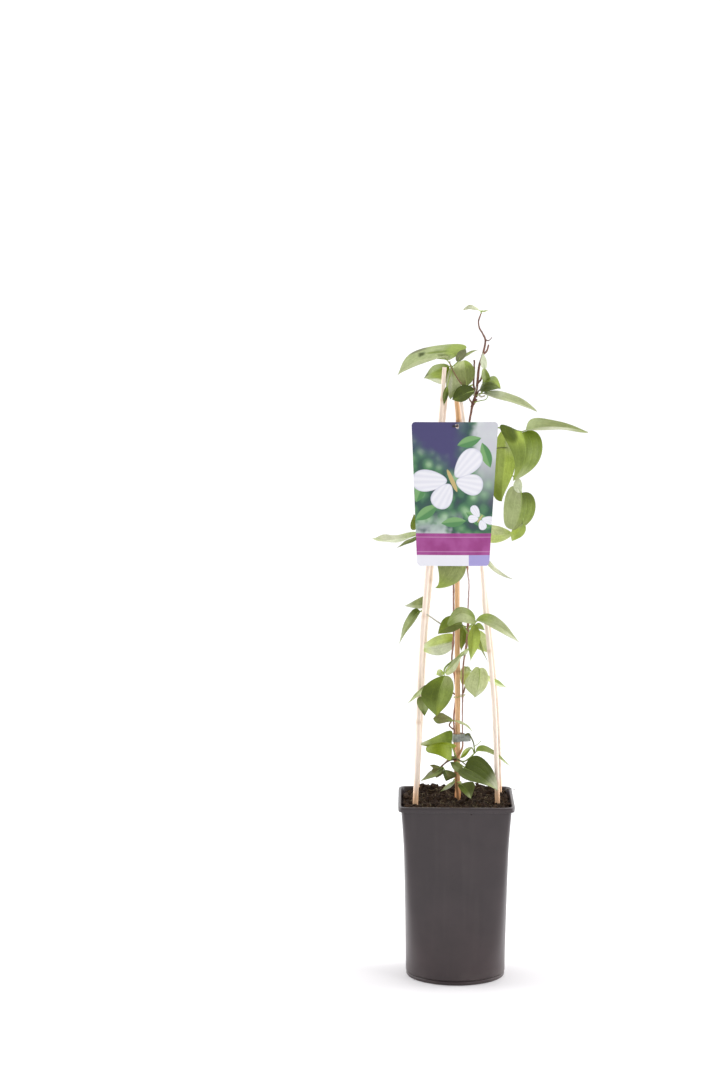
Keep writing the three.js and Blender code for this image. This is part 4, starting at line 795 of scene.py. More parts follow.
def bamboo_finish(name, light, warm, joint):
    """Split fibres along the cane, warmer streaks and a darker ring at each joint."""
    paint = Finish(name)
    fibres = paint.cloud(paint.scaled(paint.place, (1500.0, 1500.0, 22.0)), 1.0, 4.0, 0.6)
    stain = paint.cloud(paint.scaled(paint.place, (70.0, 70.0, 9.0)), 1.0, 3.0)
    at_joint = paint.point_value("joint", 2)
    colour = paint.blend(fibres.between(0.3, 0.75), light, warm)
    colour = paint.blend(stain.between(0.5, 0.75) * 0.55, colour, warm)
    colour = paint.blend(at_joint * 0.6, colour, joint)
    _, _, height_above = paint.split(paint.place)
    # Near the soil the cane is tinted lighter and warmer: partly the bamboo's own orange stain, partly
    # painted light that makes up for the shade low down by the dark soil.
    stain_and_light_at_foot = height_above.between(0.243, 0.215)
    colour = paint.blend(stain_and_light_at_foot * 0.8, colour, paint.tint(1.0, light, rgba((255, 214, 168))))
    roughness = 0.42 + fibres * 0.2
    return paint.finish(colour, roughness, fibres, 0.00012, Specular_IOR_Level=0.4)


def bark_finish():
    """Ribbed red-brown bark, greyer and flaking low down."""
    paint = Finish("stem_bark")
    x, _, z = paint.split(paint.place)
    ribs = paint.cloud(paint.scaled(paint.place, (1400.0, 1400.0, 60.0)), 1.0, 4.0, 0.6)
    patch = paint.cloud(paint.scaled(paint.place, (260.0, 260.0, 70.0)), 1.0, 3.0)
    young = paint.blend(ribs.between(0.35, 0.7), rgba((124, 84, 70)), rgba((196, 156, 138)))
    darker = paint.blend(ribs.between(0.35, 0.7), rgba((84, 54, 44)), rgba((148, 106, 88)))
    young = paint.blend(z.between(0.6, 0.66), young, darker)
    old = paint.blend(ribs.between(0.3, 0.65), rgba((126, 84, 54)), rgba((206, 152, 104)))
    smooth = paint.blend(ribs.between(0.35, 0.7), rgba((150, 116, 112)), rgba((204, 178, 172)))
    peeled = z.between(0.285, 0.292) * z.between(0.34, 0.33) + z.between(0.43, 0.44) * z.between(0.49, 0.48)
    young = paint.blend(peeled * x.between(0.004, 0.006), young, smooth)
    colour = paint.blend(z.between(0.32, 0.26) * (1 - peeled), young, old)
    colour = paint.blend(patch.between(0.55, 0.7) * 0.45, colour, rgba((74, 52, 42)))
    return paint.finish(colour, 0.7, ribs + patch * 0.5, 0.0003, Specular_IOR_Level=0.35)


def leaf_finish():
    """Blade colour from the mesh with its painted light and shade, five curved veins, a fine net between
    them and a dull underside.
    """
    paint = Finish("clematis_blade")
    tone = paint.point_value("leaf_tone", 0)
    along, across, top = paint.split(paint.point_value("leaf_place", 1))
    flat = paint.point_value("leaf_flat", 1)
    middle = abs(across).between(0.05, 0.012)
    inner = abs(abs(across) - 0.4).between(0.035, 0.008)
    outer = abs(abs(across) - 0.76).between(0.03, 0.006)
    faded = along.between(0.99, 0.7)
    veins = middle.most((inner * 0.8).most(outer * 0.55) * faded)
    cells = paint.add(
        "ShaderNodeTexVoronoi", {"feature": "DISTANCE_TO_EDGE"}, {"Vector": flat, "Scale": 330.0},
    )
    net = cells.between(0.09, 0.01)
    cloudy = paint.cloud(flat, 90.0, 3.0)
    mottled = paint.cloud(flat, 420.0, 3.0, 0.6)
    light = paint.add("ShaderNodeVectorMath", {"operation": "SCALE"}, {0: tone, "Scale": 1.45})
    rich = paint.tint(cloudy.between(0.65, 0.35) * 0.35, tone, rgba((172, 182, 150)))
    rich = paint.blend(mottled.between(0.45, 0.8) * 0.4, rich, light)
    veined = paint.blend(veins * 0.3 + net * 0.14, rich, light)
    colour = paint.blend(veins * 0.3 * (1 - top), veined, rgba((206, 214, 160)))
    roughness = 0.52 + mottled * 0.14 - top * 0.08
    height = (cells.between(0.0, 0.16) * 0.5 - veins * 0.7) * (top * 2 - 1) + mottled * 0.25
    return paint.finish(colour, roughness, height, 0.00016, Specular_IOR_Level=0.32)


def stalk_finish():
    paint = Finish("leaf_stalk")
    tone = paint.point_value("leaf_tone", 0)
    streak = paint.cloud(paint.place, 420.0, 3.0)
    colour = paint.tint(streak.between(0.4, 0.7) * 0.4, tone, rgba((190, 170, 140)))
    return paint.finish(colour, 0.5, streak, 0.00008, Specular_IOR_Level=0.4)


def plain_finish(name, low, high, roughness, scale, depth):
    """A moulded or coated finish with a cloudy change of colour and a fine grain."""
    paint = Finish(name)
    cloudy = paint.cloud(paint.place, scale, 3.0)
    grain = paint.cloud(paint.place, scale * 9, 3.0)
    colour = paint.blend(cloudy.between(0.35, 0.68), rgba(low), rgba(high))
    return paint.finish(colour, roughness + grain * 0.12, grain, depth)


def tape_finish():
    """Ribbed grey-green binding tape."""
    paint = Finish("binding_tape")
    _, _, z = paint.split(paint.place)
    cloudy = paint.cloud(paint.place, 240.0, 3.0)
    ribs = (z * (2 * math.pi / 0.0011)).sine() * 0.5 + 0.5
    colour = paint.blend(cloudy.between(0.35, 0.7), rgba((124, 130, 124)), rgba((176, 180, 172)))
    colour = paint.blend(ribs * 0.25, colour, rgba((104, 110, 104)))
    return paint.finish(colour, 0.5 + cloudy * 0.1, ribs + cloudy, 0.00012)


GREEN_STOPS = [(0.12, (146, 184, 140)), (0.4, (84, 134, 92)), (0.66, (48, 88, 74)), (0.95, (60, 62, 84))]


def label_finish():
    """A made-up picture: a violet sky, leaves, two pale butterflies, a plum band and a white foot."""
    paint = Finish("label_print")
    x, _, z = paint.split(paint.place)
    x, z = x * 1000, z * 1000
    soft = paint.cloud(paint.place, 60.0, 2.0)
    clumps = paint.add(
        "ShaderNodeTexVoronoi", {"feature": "SMOOTH_F1"},
        {"Vector": paint.place, "Scale": 78.0, "Smoothness": 0.5},
    )
    greens = paint.add(
        "ShaderNodeValToRGB",
        {"stops": [(place, linear(tone)) for place, tone in GREEN_STOPS]},
        {"Fac": clumps + (soft - 0.5) * 0.5},
    )
    skyward = (z + x * 0.55 + soft * 26).between(602.0, 640.0) * (x + soft * 20).between(32.0, 4.0)
    picture = paint.blend(skyward, greens, rgba((70, 66, 112)))
    haze = (x + soft * 30).between(30.0, 44.0) * z.between(560.0, 640.0)
    picture = paint.blend(haze * 0.85, picture, rgba((214, 214, 222)))
    mist = (z - x * 0.3 + soft * 40).between(592.0, 560.0) * (soft * 2 - x * 0.01).between(0.9, 1.3)
    picture = paint.blend(mist * 0.7, picture, rgba((216, 220, 226)))
    for leaf in LABEL_LEAVES:
        picture = painted_leaf(paint, picture, x, z, *leaf)
    for butterfly in LABEL_BUTTERFLIES:
        picture = painted_butterfly(paint, picture, x, z, *butterfly)
    plum = paint.blend(soft.between(0.3, 0.7), rgba((150, 56, 128)), rgba((166, 78, 148)))
    middle, reach = LABEL_LINES
    hairline = abs(abs(z - middle) - reach).between(0.55, 0.25)
    plum = paint.blend(hairline * 0.6, plum, rgba((206, 160, 196)))
    picture = paint.blend(z.between(LABEL_BAND_TOP + 0.25, LABEL_BAND_TOP - 0.25), picture, plum)
    foot = paint.blend(x.between(13.8, 14.2), rgba((232, 232, 240)), rgba((166, 158, 212)))
    picture = paint.blend(z.between(LABEL_FOOT_TOP + 0.25, LABEL_FOOT_TOP - 0.25), picture, foot)
    front = paint.point_value("printed", 2)
    colour = paint.blend(front, rgba((200, 200, 206)), picture)
    wear = paint.cloud(paint.place, 700.0, 3.0)
    return paint.finish(colour, 0.3 + wear * 0.1, wear, 0.00004, Specular_IOR_Level=0.45)


# Centre, length, width and turn of each printed leaf.
LABEL_LEAVES = [
    (-36.0, 560.0, 32.0, 14.0, 0.6), (26.0, 552.0, 36.0, 15.0, -0.5), (-4.0, 549.0, 30.0, 12.0, 0.1),
    (34.0, 628.0, 32.0, 13.0, 1.9), (-44.0, 584.0, 26.0, 12.0, 1.2), (14.0, 644.0, 30.0, 13.0, 0.3),
]
# Centre, wing length and turn of each printed butterfly.
LABEL_BUTTERFLIES = [(-6.0, 598.0, 58.0, 0.42), (27.0, 553.0, 22.0, -0.6)]
# Turn from the body, length, width and share of the length at which each wing is centred.
BUTTERFLY_WINGS = [(0.42, 0.72, 0.46, 0.46), (-0.62, 0.56, 0.44, 0.36)]


def turned(x, z, centre_x, centre_z, turn):
    """Places along and across a direction that leaves the centre at an angle."""
    dx, dz = x - centre_x, z - centre_z
    return dx * math.cos(turn) + dz * math.sin(turn), dz * math.cos(turn) - dx * math.sin(turn)


def painted_leaf(paint, picture, x, z, centre_x, centre_z, length, width, turn):
    along, across = turned(x, z, centre_x, centre_z, turn)
    along, across = along / (length / 2), across / (width / 2)
    inside = (1 - along * along - abs(across)).between(0.0, 0.08)
    blade = paint.blend(across.between(-0.15, 0.15), rgba((84, 138, 84)), rgba((122, 168, 108)))
    return paint.blend(inside, picture, blade)


def painted_butterfly(paint, picture, x, z, centre_x, centre_z, reach, turn):
    for side in (0, 1):
        for angle, length, width, middle in BUTTERFLY_WINGS:
            heading = turn + (angle if side else math.pi - angle)
            wing_x = centre_x + reach * middle * math.cos(heading)
            wing_z = centre_z + reach * middle * math.sin(heading)
            along, across = turned(x, z, wing_x, wing_z, heading)
            along = along / (reach * length / 2)
            across = across / (along * 0.3 + 0.95) / (reach * width / 2)
            edge = 1 - along * along - across * across
            ribs = (across * 13).sine() * 0.5 + 0.5
            tone = paint.blend(ribs * 0.3, rgba((236, 236, 242)), rgba((198, 200, 216)))
            tone = paint.blend(edge.between(0.3, 0.0) * 0.5, tone, rgba((186, 188, 208)))
            picture = paint.blend(edge.between(0.0, 0.05), picture, tone)
    along, across = turned(x, z, centre_x, centre_z, turn + math.pi / 2)
    body = 1 - (along / (reach * 0.26)) ** 2 - (across / (reach * 0.045)) ** 2
    return paint.blend(body.between(0.0, 0.2), picture, rgba((196, 176, 120)))


# ---- mesh making ----

def step(value, low, high):
    """A smooth step from 0 at low to 1 at high."""
    share = np.clip((value - low) / (high - low), 0, 1)
    return share * share * (3 - 2 * share)


def unit(vector):
    return vector / np.linalg.norm(vector)


class Shape:
    """Points, faces and point values that are gathered before they become one mesh."""

    def __init__(self, **kinds):
        self.kinds = kinds
        self.points = []
        self.faces = []
        self.finish_of = []
        self.values = {name: [] for name in kinds}

    def add(self, points, faces, finish=0, **values):
        start = len(self.points)
        self.points.extend(tuple(p) for p in points)
        self.faces.extend(tuple(start + i for i in face) for face in faces)
        self.finish_of.extend([finish] * len(faces))
        for name, kind in self.kinds.items():
            width = {"FLOAT": 1, "FLOAT_VECTOR": 3, "FLOAT_COLOR": 4}[kind]
            given = values.get(name)
            if given is None:
                given = np.zeros((len(points), width))
            self.values[name].append(np.asarray(given, float).reshape(len(points), width))

    def build(self, name, *finishes, sharp=None):
        mesh = bpy.data.meshes.new(name)
        mesh.from_pydata([tuple(c * MM for c in p) for p in self.points], [], self.faces)
        for finish in finishes:
            mesh.materials.append(finish)
        mesh.polygons.foreach_set("material_index", self.finish_of)
        mesh.polygons.foreach_set("use_smooth", [True] * len(self.faces))
        for value, kind in self.kinds.items():
            layer = mesh.attributes.new(value, kind, "POINT")
            field = {"FLOAT": "value", "FLOAT_VECTOR": "vector", "FLOAT_COLOR": "color"}[kind]
            layer.data.foreach_set(field, np.concatenate(self.values[value]).astype(np.float32).ravel())
        mesh.update()
        return piece_of(name, mesh, sharp)


def piece_of(name, mesh, sharp=None):
    """The mesh as a piece of the scene; edges that bend by more than sharp degrees stay sharp."""
    if sharp is not None:
        mesh.set_sharp_from_angle(angle=math.radians(sharp))
    piece = bpy.data.objects.new(name, mesh)
    bpy.context.scene.collection.objects.link(piece)
    return piece


def hand_over(piece, slot, *nodes):
    """The piece rides on the plant's one body and stands for CAD nodes, which it hides; slot is not used."""
    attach(piece, "root")
    if nodes:
        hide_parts(*nodes)
    return piece


def skin_faces(rows, count, first_cap=True, last_cap=True):
    """Faces between rings of equal length, the outside being on the right of the ring's run."""
    faces = []
    for r in range(rows - 1):
        for i in range(count):
            a, b = r * count + i, r * count + (i + 1) % count
            faces.append((a, b, b + count, a + count))
    if first_cap:
        faces.append(tuple(range(count - 1, -1, -1)))
    if last_cap:
        faces.append(tuple((rows - 1) * count + i for i in range(count)))
    return faces


def smooth_line(points, samples):
    """A centripetal Catmull-Rom line through the points."""
    p = [np.array(q, float) for q in points]
    ahead, behind = 2 * p[0] - p[1], 2 * p[-1] - p[-2]
    p = [ahead, *p, behind]
    line = []
    spans = len(points) - 1
    for s in range(samples + 1):
        place = spans * s / samples
        k = min(int(place), spans - 1)
        t = place - k
        line.append(catmull_rom(p[k], p[k + 1], p[k + 2], p[k + 3], t))
    return np.array(line)


def catmull_rom(a, b, c, d, t):
    gaps = [max(np.linalg.norm(n - m), 1e-6) ** 0.5 for m, n in ((a, b), (b, c), (c, d))]
    start = (b - a) / gaps[0] - (c - a) / (gaps[0] + gaps[1]) + (c - b) / gaps[1]
    end = (c - b) / gaps[1] - (d - b) / (gaps[1] + gaps[2]) + (d - c) / gaps[2]
    start, end = start * gaps[1], end * gaps[1]
    return (
        b + start * t + (3 * c - 3 * b - 2 * start - end) * t * t
        + (2 * b - 2 * c + start + end) * t ** 3
    )


def tapered(line, start, end):
    share = np.linspace(0, 1, len(line))
    return start + (end - start) * share


# ---- rods and crumbs, by geometry nodes ----

class Grower:
    """A geometry node tree with named inputs that makes a plain mesh out of a source mesh.

    Each kind names its tree, its source, its result and its inputs, and adds its nodes in wire_up.
    """

    def __init__(self):
        self.group = bpy.data.node_groups.new(self.NAME, "GeometryNodeTree")
        face = self.group.interface
        face.new_socket(name=self.SOURCE, in_out="INPUT", socket_type="NodeSocketGeometry")
        self.sockets = {}
        for name, kind, value in self.INPUTS:
            socket = face.new_socket(name=name, in_out="INPUT", socket_type=kind)
            if value is not None:
                socket.default_value = value
            self.sockets[name] = socket.identifier
        face.new_socket(name=self.RESULT, in_out="OUTPUT", socket_type="NodeSocketGeometry")
        tree = Tree(self.group)
        entry = self.group.nodes.new("NodeGroupInput")
        grown = self.wire_up(tree, {s.name: Wire(tree, s) for s in entry.outputs if s.name})
        leave = self.group.nodes.new("NodeGroupOutput")
        self.group.links.new(grown.socket, leave.inputs[0])

    def roughened(self, tree, shape, scale, depth):
        """The geometry with its points moved by noise of a scale and a depth."""
        place = tree.add("GeometryNodeInputPosition")
        drift = tree.add("ShaderNodeTexNoise", None, {"Vector": place, "Scale": scale, "Detail": 2.0}, 1)
        half = (0.5, 0.5, 0.5)
        centred = tree.add("ShaderNodeVectorMath", {"operation": "SUBTRACT"}, {0: drift, 1: half})
        offset = tree.add("ShaderNodeVectorMath", {"operation": "SCALE"}, {0: centred, "Scale": depth})
        return tree.add("GeometryNodeSetPosition", None, {"Geometry": shape, "Offset": offset})

    def grow(self, name, source, inputs):
        """The mesh that the tree makes of the source; the inputs are named with underscores."""
        helper = bpy.data.objects.new(name + "_helper", source)
        bpy.context.scene.collection.objects.link(helper)
        grower = helper.modifiers.new("grow", "NODES")
        grower.node_group = self.group
        for key, value in inputs.items():
            grower[self.sockets[key.replace("_", " ")]] = value
        deps = bpy.context.evaluated_depsgraph_get()
        mesh = bpy.data.meshes.new_from_object(helper.evaluated_get(deps))
        mesh.name = name
        bpy.data.objects.remove(helper)
        return mesh


class RodSweep(Grower):
    """Sweeps a round section along the lines of a mesh; the girth at each point is its radius."""

    NAME, SOURCE, RESULT = "rod_sweep", "Lines", "Rods"
    INPUTS = [
        ("Sides", "NodeSocketInt", 8), ("Joint Spacing", "NodeSocketFloat", 1.0),
        ("Joint Start", "NodeSocketFloat", 0.0), ("Joint Length", "NodeSocketFloat", 0.001),
        ("Joint Swell", "NodeSocketFloat", 0.0), ("Wander", "NodeSocketFloat", 0.0),
        ("Wander Scale", "NodeSocketFloat", 100.0), ("Finish", "NodeSocketMaterial", None),
    ]

    def wire_up(self, tree, given):
        lines = tree.add("GeometryNodeMeshToCurve", None, {"Mesh": given["Lines"]})
        run = tree.add("GeometryNodeSplineParameter", output=1)
        spacing = given["Joint Spacing"]
        turn = (run - given["Joint Start"]) / spacing + 0.5
        away = abs(turn.maths("FRACT", turn) - 0.5) * spacing
        at_joint = away.between(given["Joint Length"], 0.0)
        girth = tree.add(
            "GeometryNodeInputNamedAttribute", {"data_type": "FLOAT"}, {"Name": "girth"},
        )
        radius = girth * (at_joint * given["Joint Swell"] + 1)
        lines = tree.add(
            "GeometryNodeStoreNamedAttribute", {"data_type": "FLOAT", "domain": "POINT"},
            {"Geometry": lines, "Name": "joint", "Value": at_joint},
        )
        section = tree.add(
            "GeometryNodeCurvePrimitiveCircle", None, {"Resolution": given["Sides"], "Radius": 1.0},
        )
        rods = tree.add(
            "GeometryNodeCurveToMesh", None,
            {"Curve": lines, "Profile Curve": section, "Scale": radius, "Fill Caps": True},
        )
        rods = self.roughened(tree, rods, given["Wander Scale"], given["Wander"])
        rods = tree.add("GeometryNodeSetShadeSmooth", None, {"Geometry": rods})
        rods = tree.add("GeometryNodeRealizeInstances", None, {"Geometry": rods})
        return tree.add("GeometryNodeSetMaterial", None, {"Geometry": rods, "Material": given["Finish"]})

    def mesh(self, name, lines, **inputs):
        """A plain mesh of rods; each line is its points and its girths, in millimetres."""
        points, edges, girths = [], [], []
        for line, girth in lines:
            start = len(points)
            points.extend(tuple(float(c) * MM for c in p) for p in line)
            girths.extend(float(g) * MM for g in girth)
            edges.extend((start + i, start + i + 1) for i in range(len(line) - 1))
        mesh = bpy.data.meshes.new(name + "_lines")
        mesh.from_pydata(points, edges, [])
        layer = mesh.attributes.new("girth", "FLOAT", "POINT")
        layer.data.foreach_set("value", girths)
        return self.grow(name, mesh, inputs)


class BitScatter(Grower):
    """Scatters rough crumbs over the upward faces of a ground mesh."""

    NAME, SOURCE, RESULT = "bit_scatter", "Ground", "Bits"
    INPUTS = [
        ("Density", "NodeSocketFloat", 10000.0), ("Seed", "NodeSocketInt", 0),
        ("Smallest", "NodeSocketVector", (0.001, 0.001, 0.001)),
        ("Largest", "NodeSocketVector", (0.003, 0.003, 0.003)),
        ("Fineness", "NodeSocketInt", 1), ("Roughness", "NodeSocketFloat", 0.001),
        ("Finish", "NodeSocketMaterial", None),
    ]

    def wire_up(self, tree, given):
        facing = tree.add("GeometryNodeInputNormal")
        upward = tree.add("ShaderNodeSeparateXYZ", None, {0: facing}, 2)
        is_up = upward.maths("GREATER_THAN", upward, 0.55)
        seed = given["Seed"]
        points = tree.add(
            "GeometryNodeDistributePointsOnFaces", {"distribute_method": "RANDOM"},
            {"Mesh": given["Ground"], "Selection": is_up, "Density": given["Density"], "Seed": seed},
        )
        turn = tree.add(
            "FunctionNodeRandomValue", {"data_type": "FLOAT_VECTOR"},
            {0: (0.0, 0.0, 0.0), 1: (6.28, 6.28, 6.28), "Seed": seed},
        )
        size = tree.add(
            "FunctionNodeRandomValue", {"data_type": "FLOAT_VECTOR"},
            {0: given["Smallest"], 1: given["Largest"], "Seed": seed},
        )
        fineness = given["Fineness"]
        bit = tree.add("GeometryNodeMeshIcoSphere", None, {"Radius": 1.0, "Subdivisions": fineness})
        bits = tree.add(
            "GeometryNodeInstanceOnPoints", None,
            {"Points": points, "Instance": bit, "Rotation": turn, "Scale": size},
        )
        bits = tree.add("GeometryNodeRealizeInstances", None, {"Geometry": bits})
        bits = self.roughened(tree, bits, 420.0, given["Roughness"])
        return tree.add("GeometryNodeSetMaterial", None, {"Geometry": bits, "Material": given["Finish"]})

    def mesh(self, name, ground, **inputs):
        return self.grow(name, ground.copy(), inputs)


# ---- pot ----

def square_ring(z, half, square, sides):
    ring = []
    for i in range(sides):
        even = 2 * math.pi * i / sides
        angle = even + CORNER_CROWDING * math.sin(4 * even)
        c, s = abs(math.cos(angle)), abs(math.sin(angle))
        radius = half / (c ** square + s ** square) ** (1 / square)
        ring.append((radius * math.cos(angle), radius * math.sin(angle), z))
    return ring


def pot_wall():
    """Height, half width and squareness of the pot's outside, from the foot to the lip."""
    wall = smooth_line([(half, math.log(square), z) for z, half, square in POT_BODY], 56)
    return [(z, half, math.exp(square)) for half, square, z in wall]


def pot_at(z):
    """Half width and squareness of the pot's outside at a height."""
    heights, halves, squares = zip(*pot_wall())
    return float(np.interp(z, heights, halves)), float(np.interp(z, heights, squares))


def pot_rings():
    rings = [square_ring(z, half, ROUND, POT_SIDES) for z, half in POT_FOOT]
    wall = pot_wall()
    rings += [square_ring(z, half, square, POT_SIDES) for z, half, square in wall]
    rings += [square_ring(z, half, MOUTH_SQUARENESS, POT_SIDES) for z, half in POT_LIP]
    for z, half, square in wall[::-1]:
        if POT_FLOOR + 1 < z < INNER_TOP:
            rings.append(square_ring(z, half - POT_WALL, square, POT_SIDES))
    rings += [square_ring(POT_FLOOR + rise, half, ROUND, POT_SIDES) for rise, half in INNER_FOOT]
    return rings


def cylinder_points(x, y, z_low, z_high, radius, sides):
    rings = []
    for z in (z_low, z_high):
        for i in range(sides):
            angle = 2 * math.pi * i / sides
            rings.append((x + radius * math.cos(angle), y + radius * math.sin(angle), z))
    return rings


def cut(piece, cutter):
    """Takes the cutter out of the piece and leaves a plain mesh."""
    knife = piece.modifiers.new("cut", "BOOLEAN")
    knife.operation = "DIFFERENCE"
    knife.solver = "EXACT"
    knife.object = cutter
    deps = bpy.context.evaluated_depsgraph_get()
    mesh = bpy.data.meshes.new_from_object(piece.evaluated_get(deps))
    piece.modifiers.clear()
    piece.data = mesh
    bpy.data.objects.remove(cutter)


def make_pot():
    shape = Shape()
    rings = pot_rings()
    shape.add([p for ring in rings for p in ring], skin_faces(len(rings), POT_SIDES))
    pot = shape.build("grower_pot", pot_finish())
    holes = Shape()
    for i in range(DRAIN_COUNT):
        angle = 2 * math.pi * (i + 0.5) / DRAIN_COUNT
        x, y = DRAIN_RING * math.cos(angle), DRAIN_RING * math.sin(angle)
        hole = cylinder_points(x, y, -4, POT_FLOOR + 4, DRAIN_RADIUS, DRAIN_SIDES)
        holes.add(hole, skin_faces(2, DRAIN_SIDES))
    cut(pot, holes.build("drain_cutter"))
    pot.data.set_sharp_from_angle(angle=math.radians(38))
    hand_over(pot, "pot_plastic", "pot")


# ---- soil ----

def soil_height(x, y):
    """Lumpy peat that is heaped against the side and back walls."""
    a = math.sin(x * 0.21 + SOIL_SEED) * math.cos(y * 0.17 - 0.6 * SOIL_SEED)
    b = math.sin(x * 0.47 - y * 0.39 + 2.1 * SOIL_SEED)
    lump = SOIL_LUMP * ((0.62 * a + 0.38 * b) * 0.8 + 0.5)
    clods = 4.6 * noise.noise(Vector((x / 9, y / 9, 3.1))) + 2.4 * noise.noise(Vector((x / 4, y / 4, 8.4)))
    bank = SOIL_BANK * max(0.0, y / 60) ** 1.5
    heap = SOIL_HEAP * step(y, 38, 62)
    sides = SOIL_HEAP * 0.5 * step(abs(x), 50, 63) * step(y, -70, -30) * step(y, 50, 20)
    corner = step(abs(x), 46, 60) * step(y, 30, 56)
    return SOIL_TOP + (lump + clods) * (1 - 0.6 * corner) + (bank + heap) * (1 - corner) + sides


def make_soil():
    inset = POT_WALL + SOIL_GAP
    rings = []
    for z in (POT_FLOOR + 0.3, *SOIL_RINGS):
        half, square = pot_at(z)
        rings.append(square_ring(z, half - inset, square, POT_SIDES))
    half, square = pot_at(SOIL_RIM)
    rim = square_ring(0, half - inset, square, POT_SIDES)
    for r in range(SOIL_LEVELS, 0, -1):
        share = r / SOIL_LEVELS
        rings.append([(x * share, y * share, soil_height(x * share, y * share)) for x, y, _ in rim])
    shape = Shape()
    shape.add([p for ring in rings for p in ring], skin_faces(len(rings), POT_SIDES))
    soil = shape.build("soil_body", soil_finish())
    return hand_over(soil, "potting_soil", "soil")


def make_crumbs(soil):
    scatter = BitScatter()
    finish = soil.data.materials[0]
    for name, density, seed, smallest, largest, fineness, roughness in SOIL_BITS:
        mesh = scatter.mesh(
            name, soil.data, Density=density, Seed=seed, Smallest=smallest, Largest=largest,
            Fineness=fineness, Roughness=roughness, Finish=finish,
        )
        hand_over(piece_of(name, mesh), "potting_soil")


def make_stump():
    """The rounded end of an old cut shoot in front of the middle cane."""
    x, y, foot = STUMP_PLACE
    rings = []
    for r in range(STUMP_ROWS):
        t = r / (STUMP_ROWS - 1)
        radius = STUMP_RADIUS * math.cos(t * math.pi / 2) ** 0.45 + 0.02
        ring = []
        for i in range(STUMP_SIDES):
            angle = 2 * math.pi * i / STUMP_SIDES
            c, s = math.cos(angle), math.sin(angle)
            rough = 1 + 0.12 * noise.noise(Vector((c * 2, s * 2, t * 3)))
            ring.append((x + radius * rough * c, y + radius * rough * s, foot + STUMP_HEIGHT * t))
        rings.append(ring)
    shape = Shape()
    shape.add([p for ring in rings for p in ring], skin_faces(STUMP_ROWS, STUMP_SIDES))
    finish = plain_finish("old_wood", (30, 26, 20), (84, 80, 58), 0.75, 260.0, 0.0003)
    hand_over(shape.build("old_stump", finish), "potting_soil")


def make_fibres(sweep):
    """Short curled strands of peat that lie on the soil."""
    draw = np.random.default_rng(FIBRE_SEED)
    lines = []
    for _ in range(FIBRE_COUNT):
        x, y = draw.uniform(*FIBRE_SPAN, 2)
        heading = draw.uniform(0, 2 * math.pi)
        length, lift, curl = (draw.uniform(*span) for span in (FIBRE_LENGTH, FIBRE_LIFT, FIBRE_CURL))
        line = []
        for k in range(7):
            t = k / 6
            bend = heading + curl * t
            px, py = x + length * t * math.cos(bend), y + length * t * math.sin(bend)
            if max(abs(px), abs(py)) > FIBRE_LIMIT:
                break
            line.append((px, py, soil_height(px, py) + lift * math.sin(math.pi * t) + 0.2))
        if len(line) > 3:
            lines.append((line, tapered(line, draw.uniform(*FIBRE_GIRTH), 0.12)))
    for straw in LOOSE_STRAWS:
        line = smooth_line(straw, 12)
        lines.append((line, tapered(line, 0.5, 0.35)))
    mesh = sweep.mesh("soil_fibres", lines, Sides=5, Finish=fibre_finish())
    hand_over(piece_of("soil_fibres", mesh), "potting_soil")


# ---- canes and stems ----

CANE_TONES = {
    "bamboo_pale": ((242, 228, 216), (230, 208, 188), (206, 176, 148)),
    "bamboo_amber": ((230, 192, 150), (190, 140, 92), (128, 88, 58)),
}


def make_canes(sweep):
    """The five canes; each runs on into the soil, where it stands more upright."""
    finishes = {
        name: bamboo_finish(name, *(rgba(tone) for tone in tones)) for name, tones in CANE_TONES.items()
    }
    for index, (name, cane) in enumerate(CANES.items()):
        foot, after = cane["line"][0], cane["line"][1]
        slope = CANE_DEPTH / (after[2] - foot[2]) * 0.2
        buried = (*(a + (b - a) * slope for a, b in zip(foot[:2], after[:2])), foot[2] - CANE_DEPTH)
        line = smooth_line([buried, *cane["line"]], CANE_SAMPLES)
        mesh = sweep.mesh(
            name + "_bamboo", [(line, tapered(line, cane["butt"], cane["top"]))], Sides=CANE_SIDES,
            Joint_Spacing=JOINT_SPACING + JOINT_SPACING_STEP * index,
            Joint_Start=JOINT_START + JOINT_START_STEP * index, Joint_Length=0.0042, Joint_Swell=0.11,
            Wander=0.0011, Wander_Scale=26.0, Finish=finishes[cane["slot"]],
        )
        hand_over(piece_of(name + "_bamboo", mesh, sharp=50), cane["slot"], name)


def knotted(line, girth):
    """Girth that changes with height along a stem and swells at its knots."""
    girth = np.interp(line[:, 2], *zip(*girth))
    for x, y, z, size in STEM_KNOTS:
        away = np.linalg.norm(line - np.array((x, y, z)), axis=1)
        girth = girth + np.maximum(0, size - girth) * np.exp(-((away / KNOT_REACH) ** 2))
    return girth


def make_stems(sweep):
    lines = []
    for points, samples, girth in STEMS:
        line = smooth_line(points, samples)
        lines.append((line, knotted(line, girth)))
    for girth, points in STEM_STUBS:
        line = smooth_line(points, 30)
        lines.append((line, tapered(line, girth, girth - 0.3)))
    mesh = sweep.mesh(
        "woody_stems", lines, Sides=STEM_SIDES, Wander=0.0009, Wander_Scale=240.0, Finish=bark_finish(),
    )
    hand_over(piece_of("woody_stems", mesh, sharp=55), "stem_bark", "climbing_stems")


# ---- label and ties ----

def label_depth(x):
    middle = (LABEL_TOP_SPAN[0] + LABEL_TOP_SPAN[1]) / 2
    half = (LABEL_TOP_SPAN[1] - LABEL_TOP_SPAN[0]) / 2
    return LABEL_DEPTH + LABEL_BOW * ((x - middle) / half) ** 2


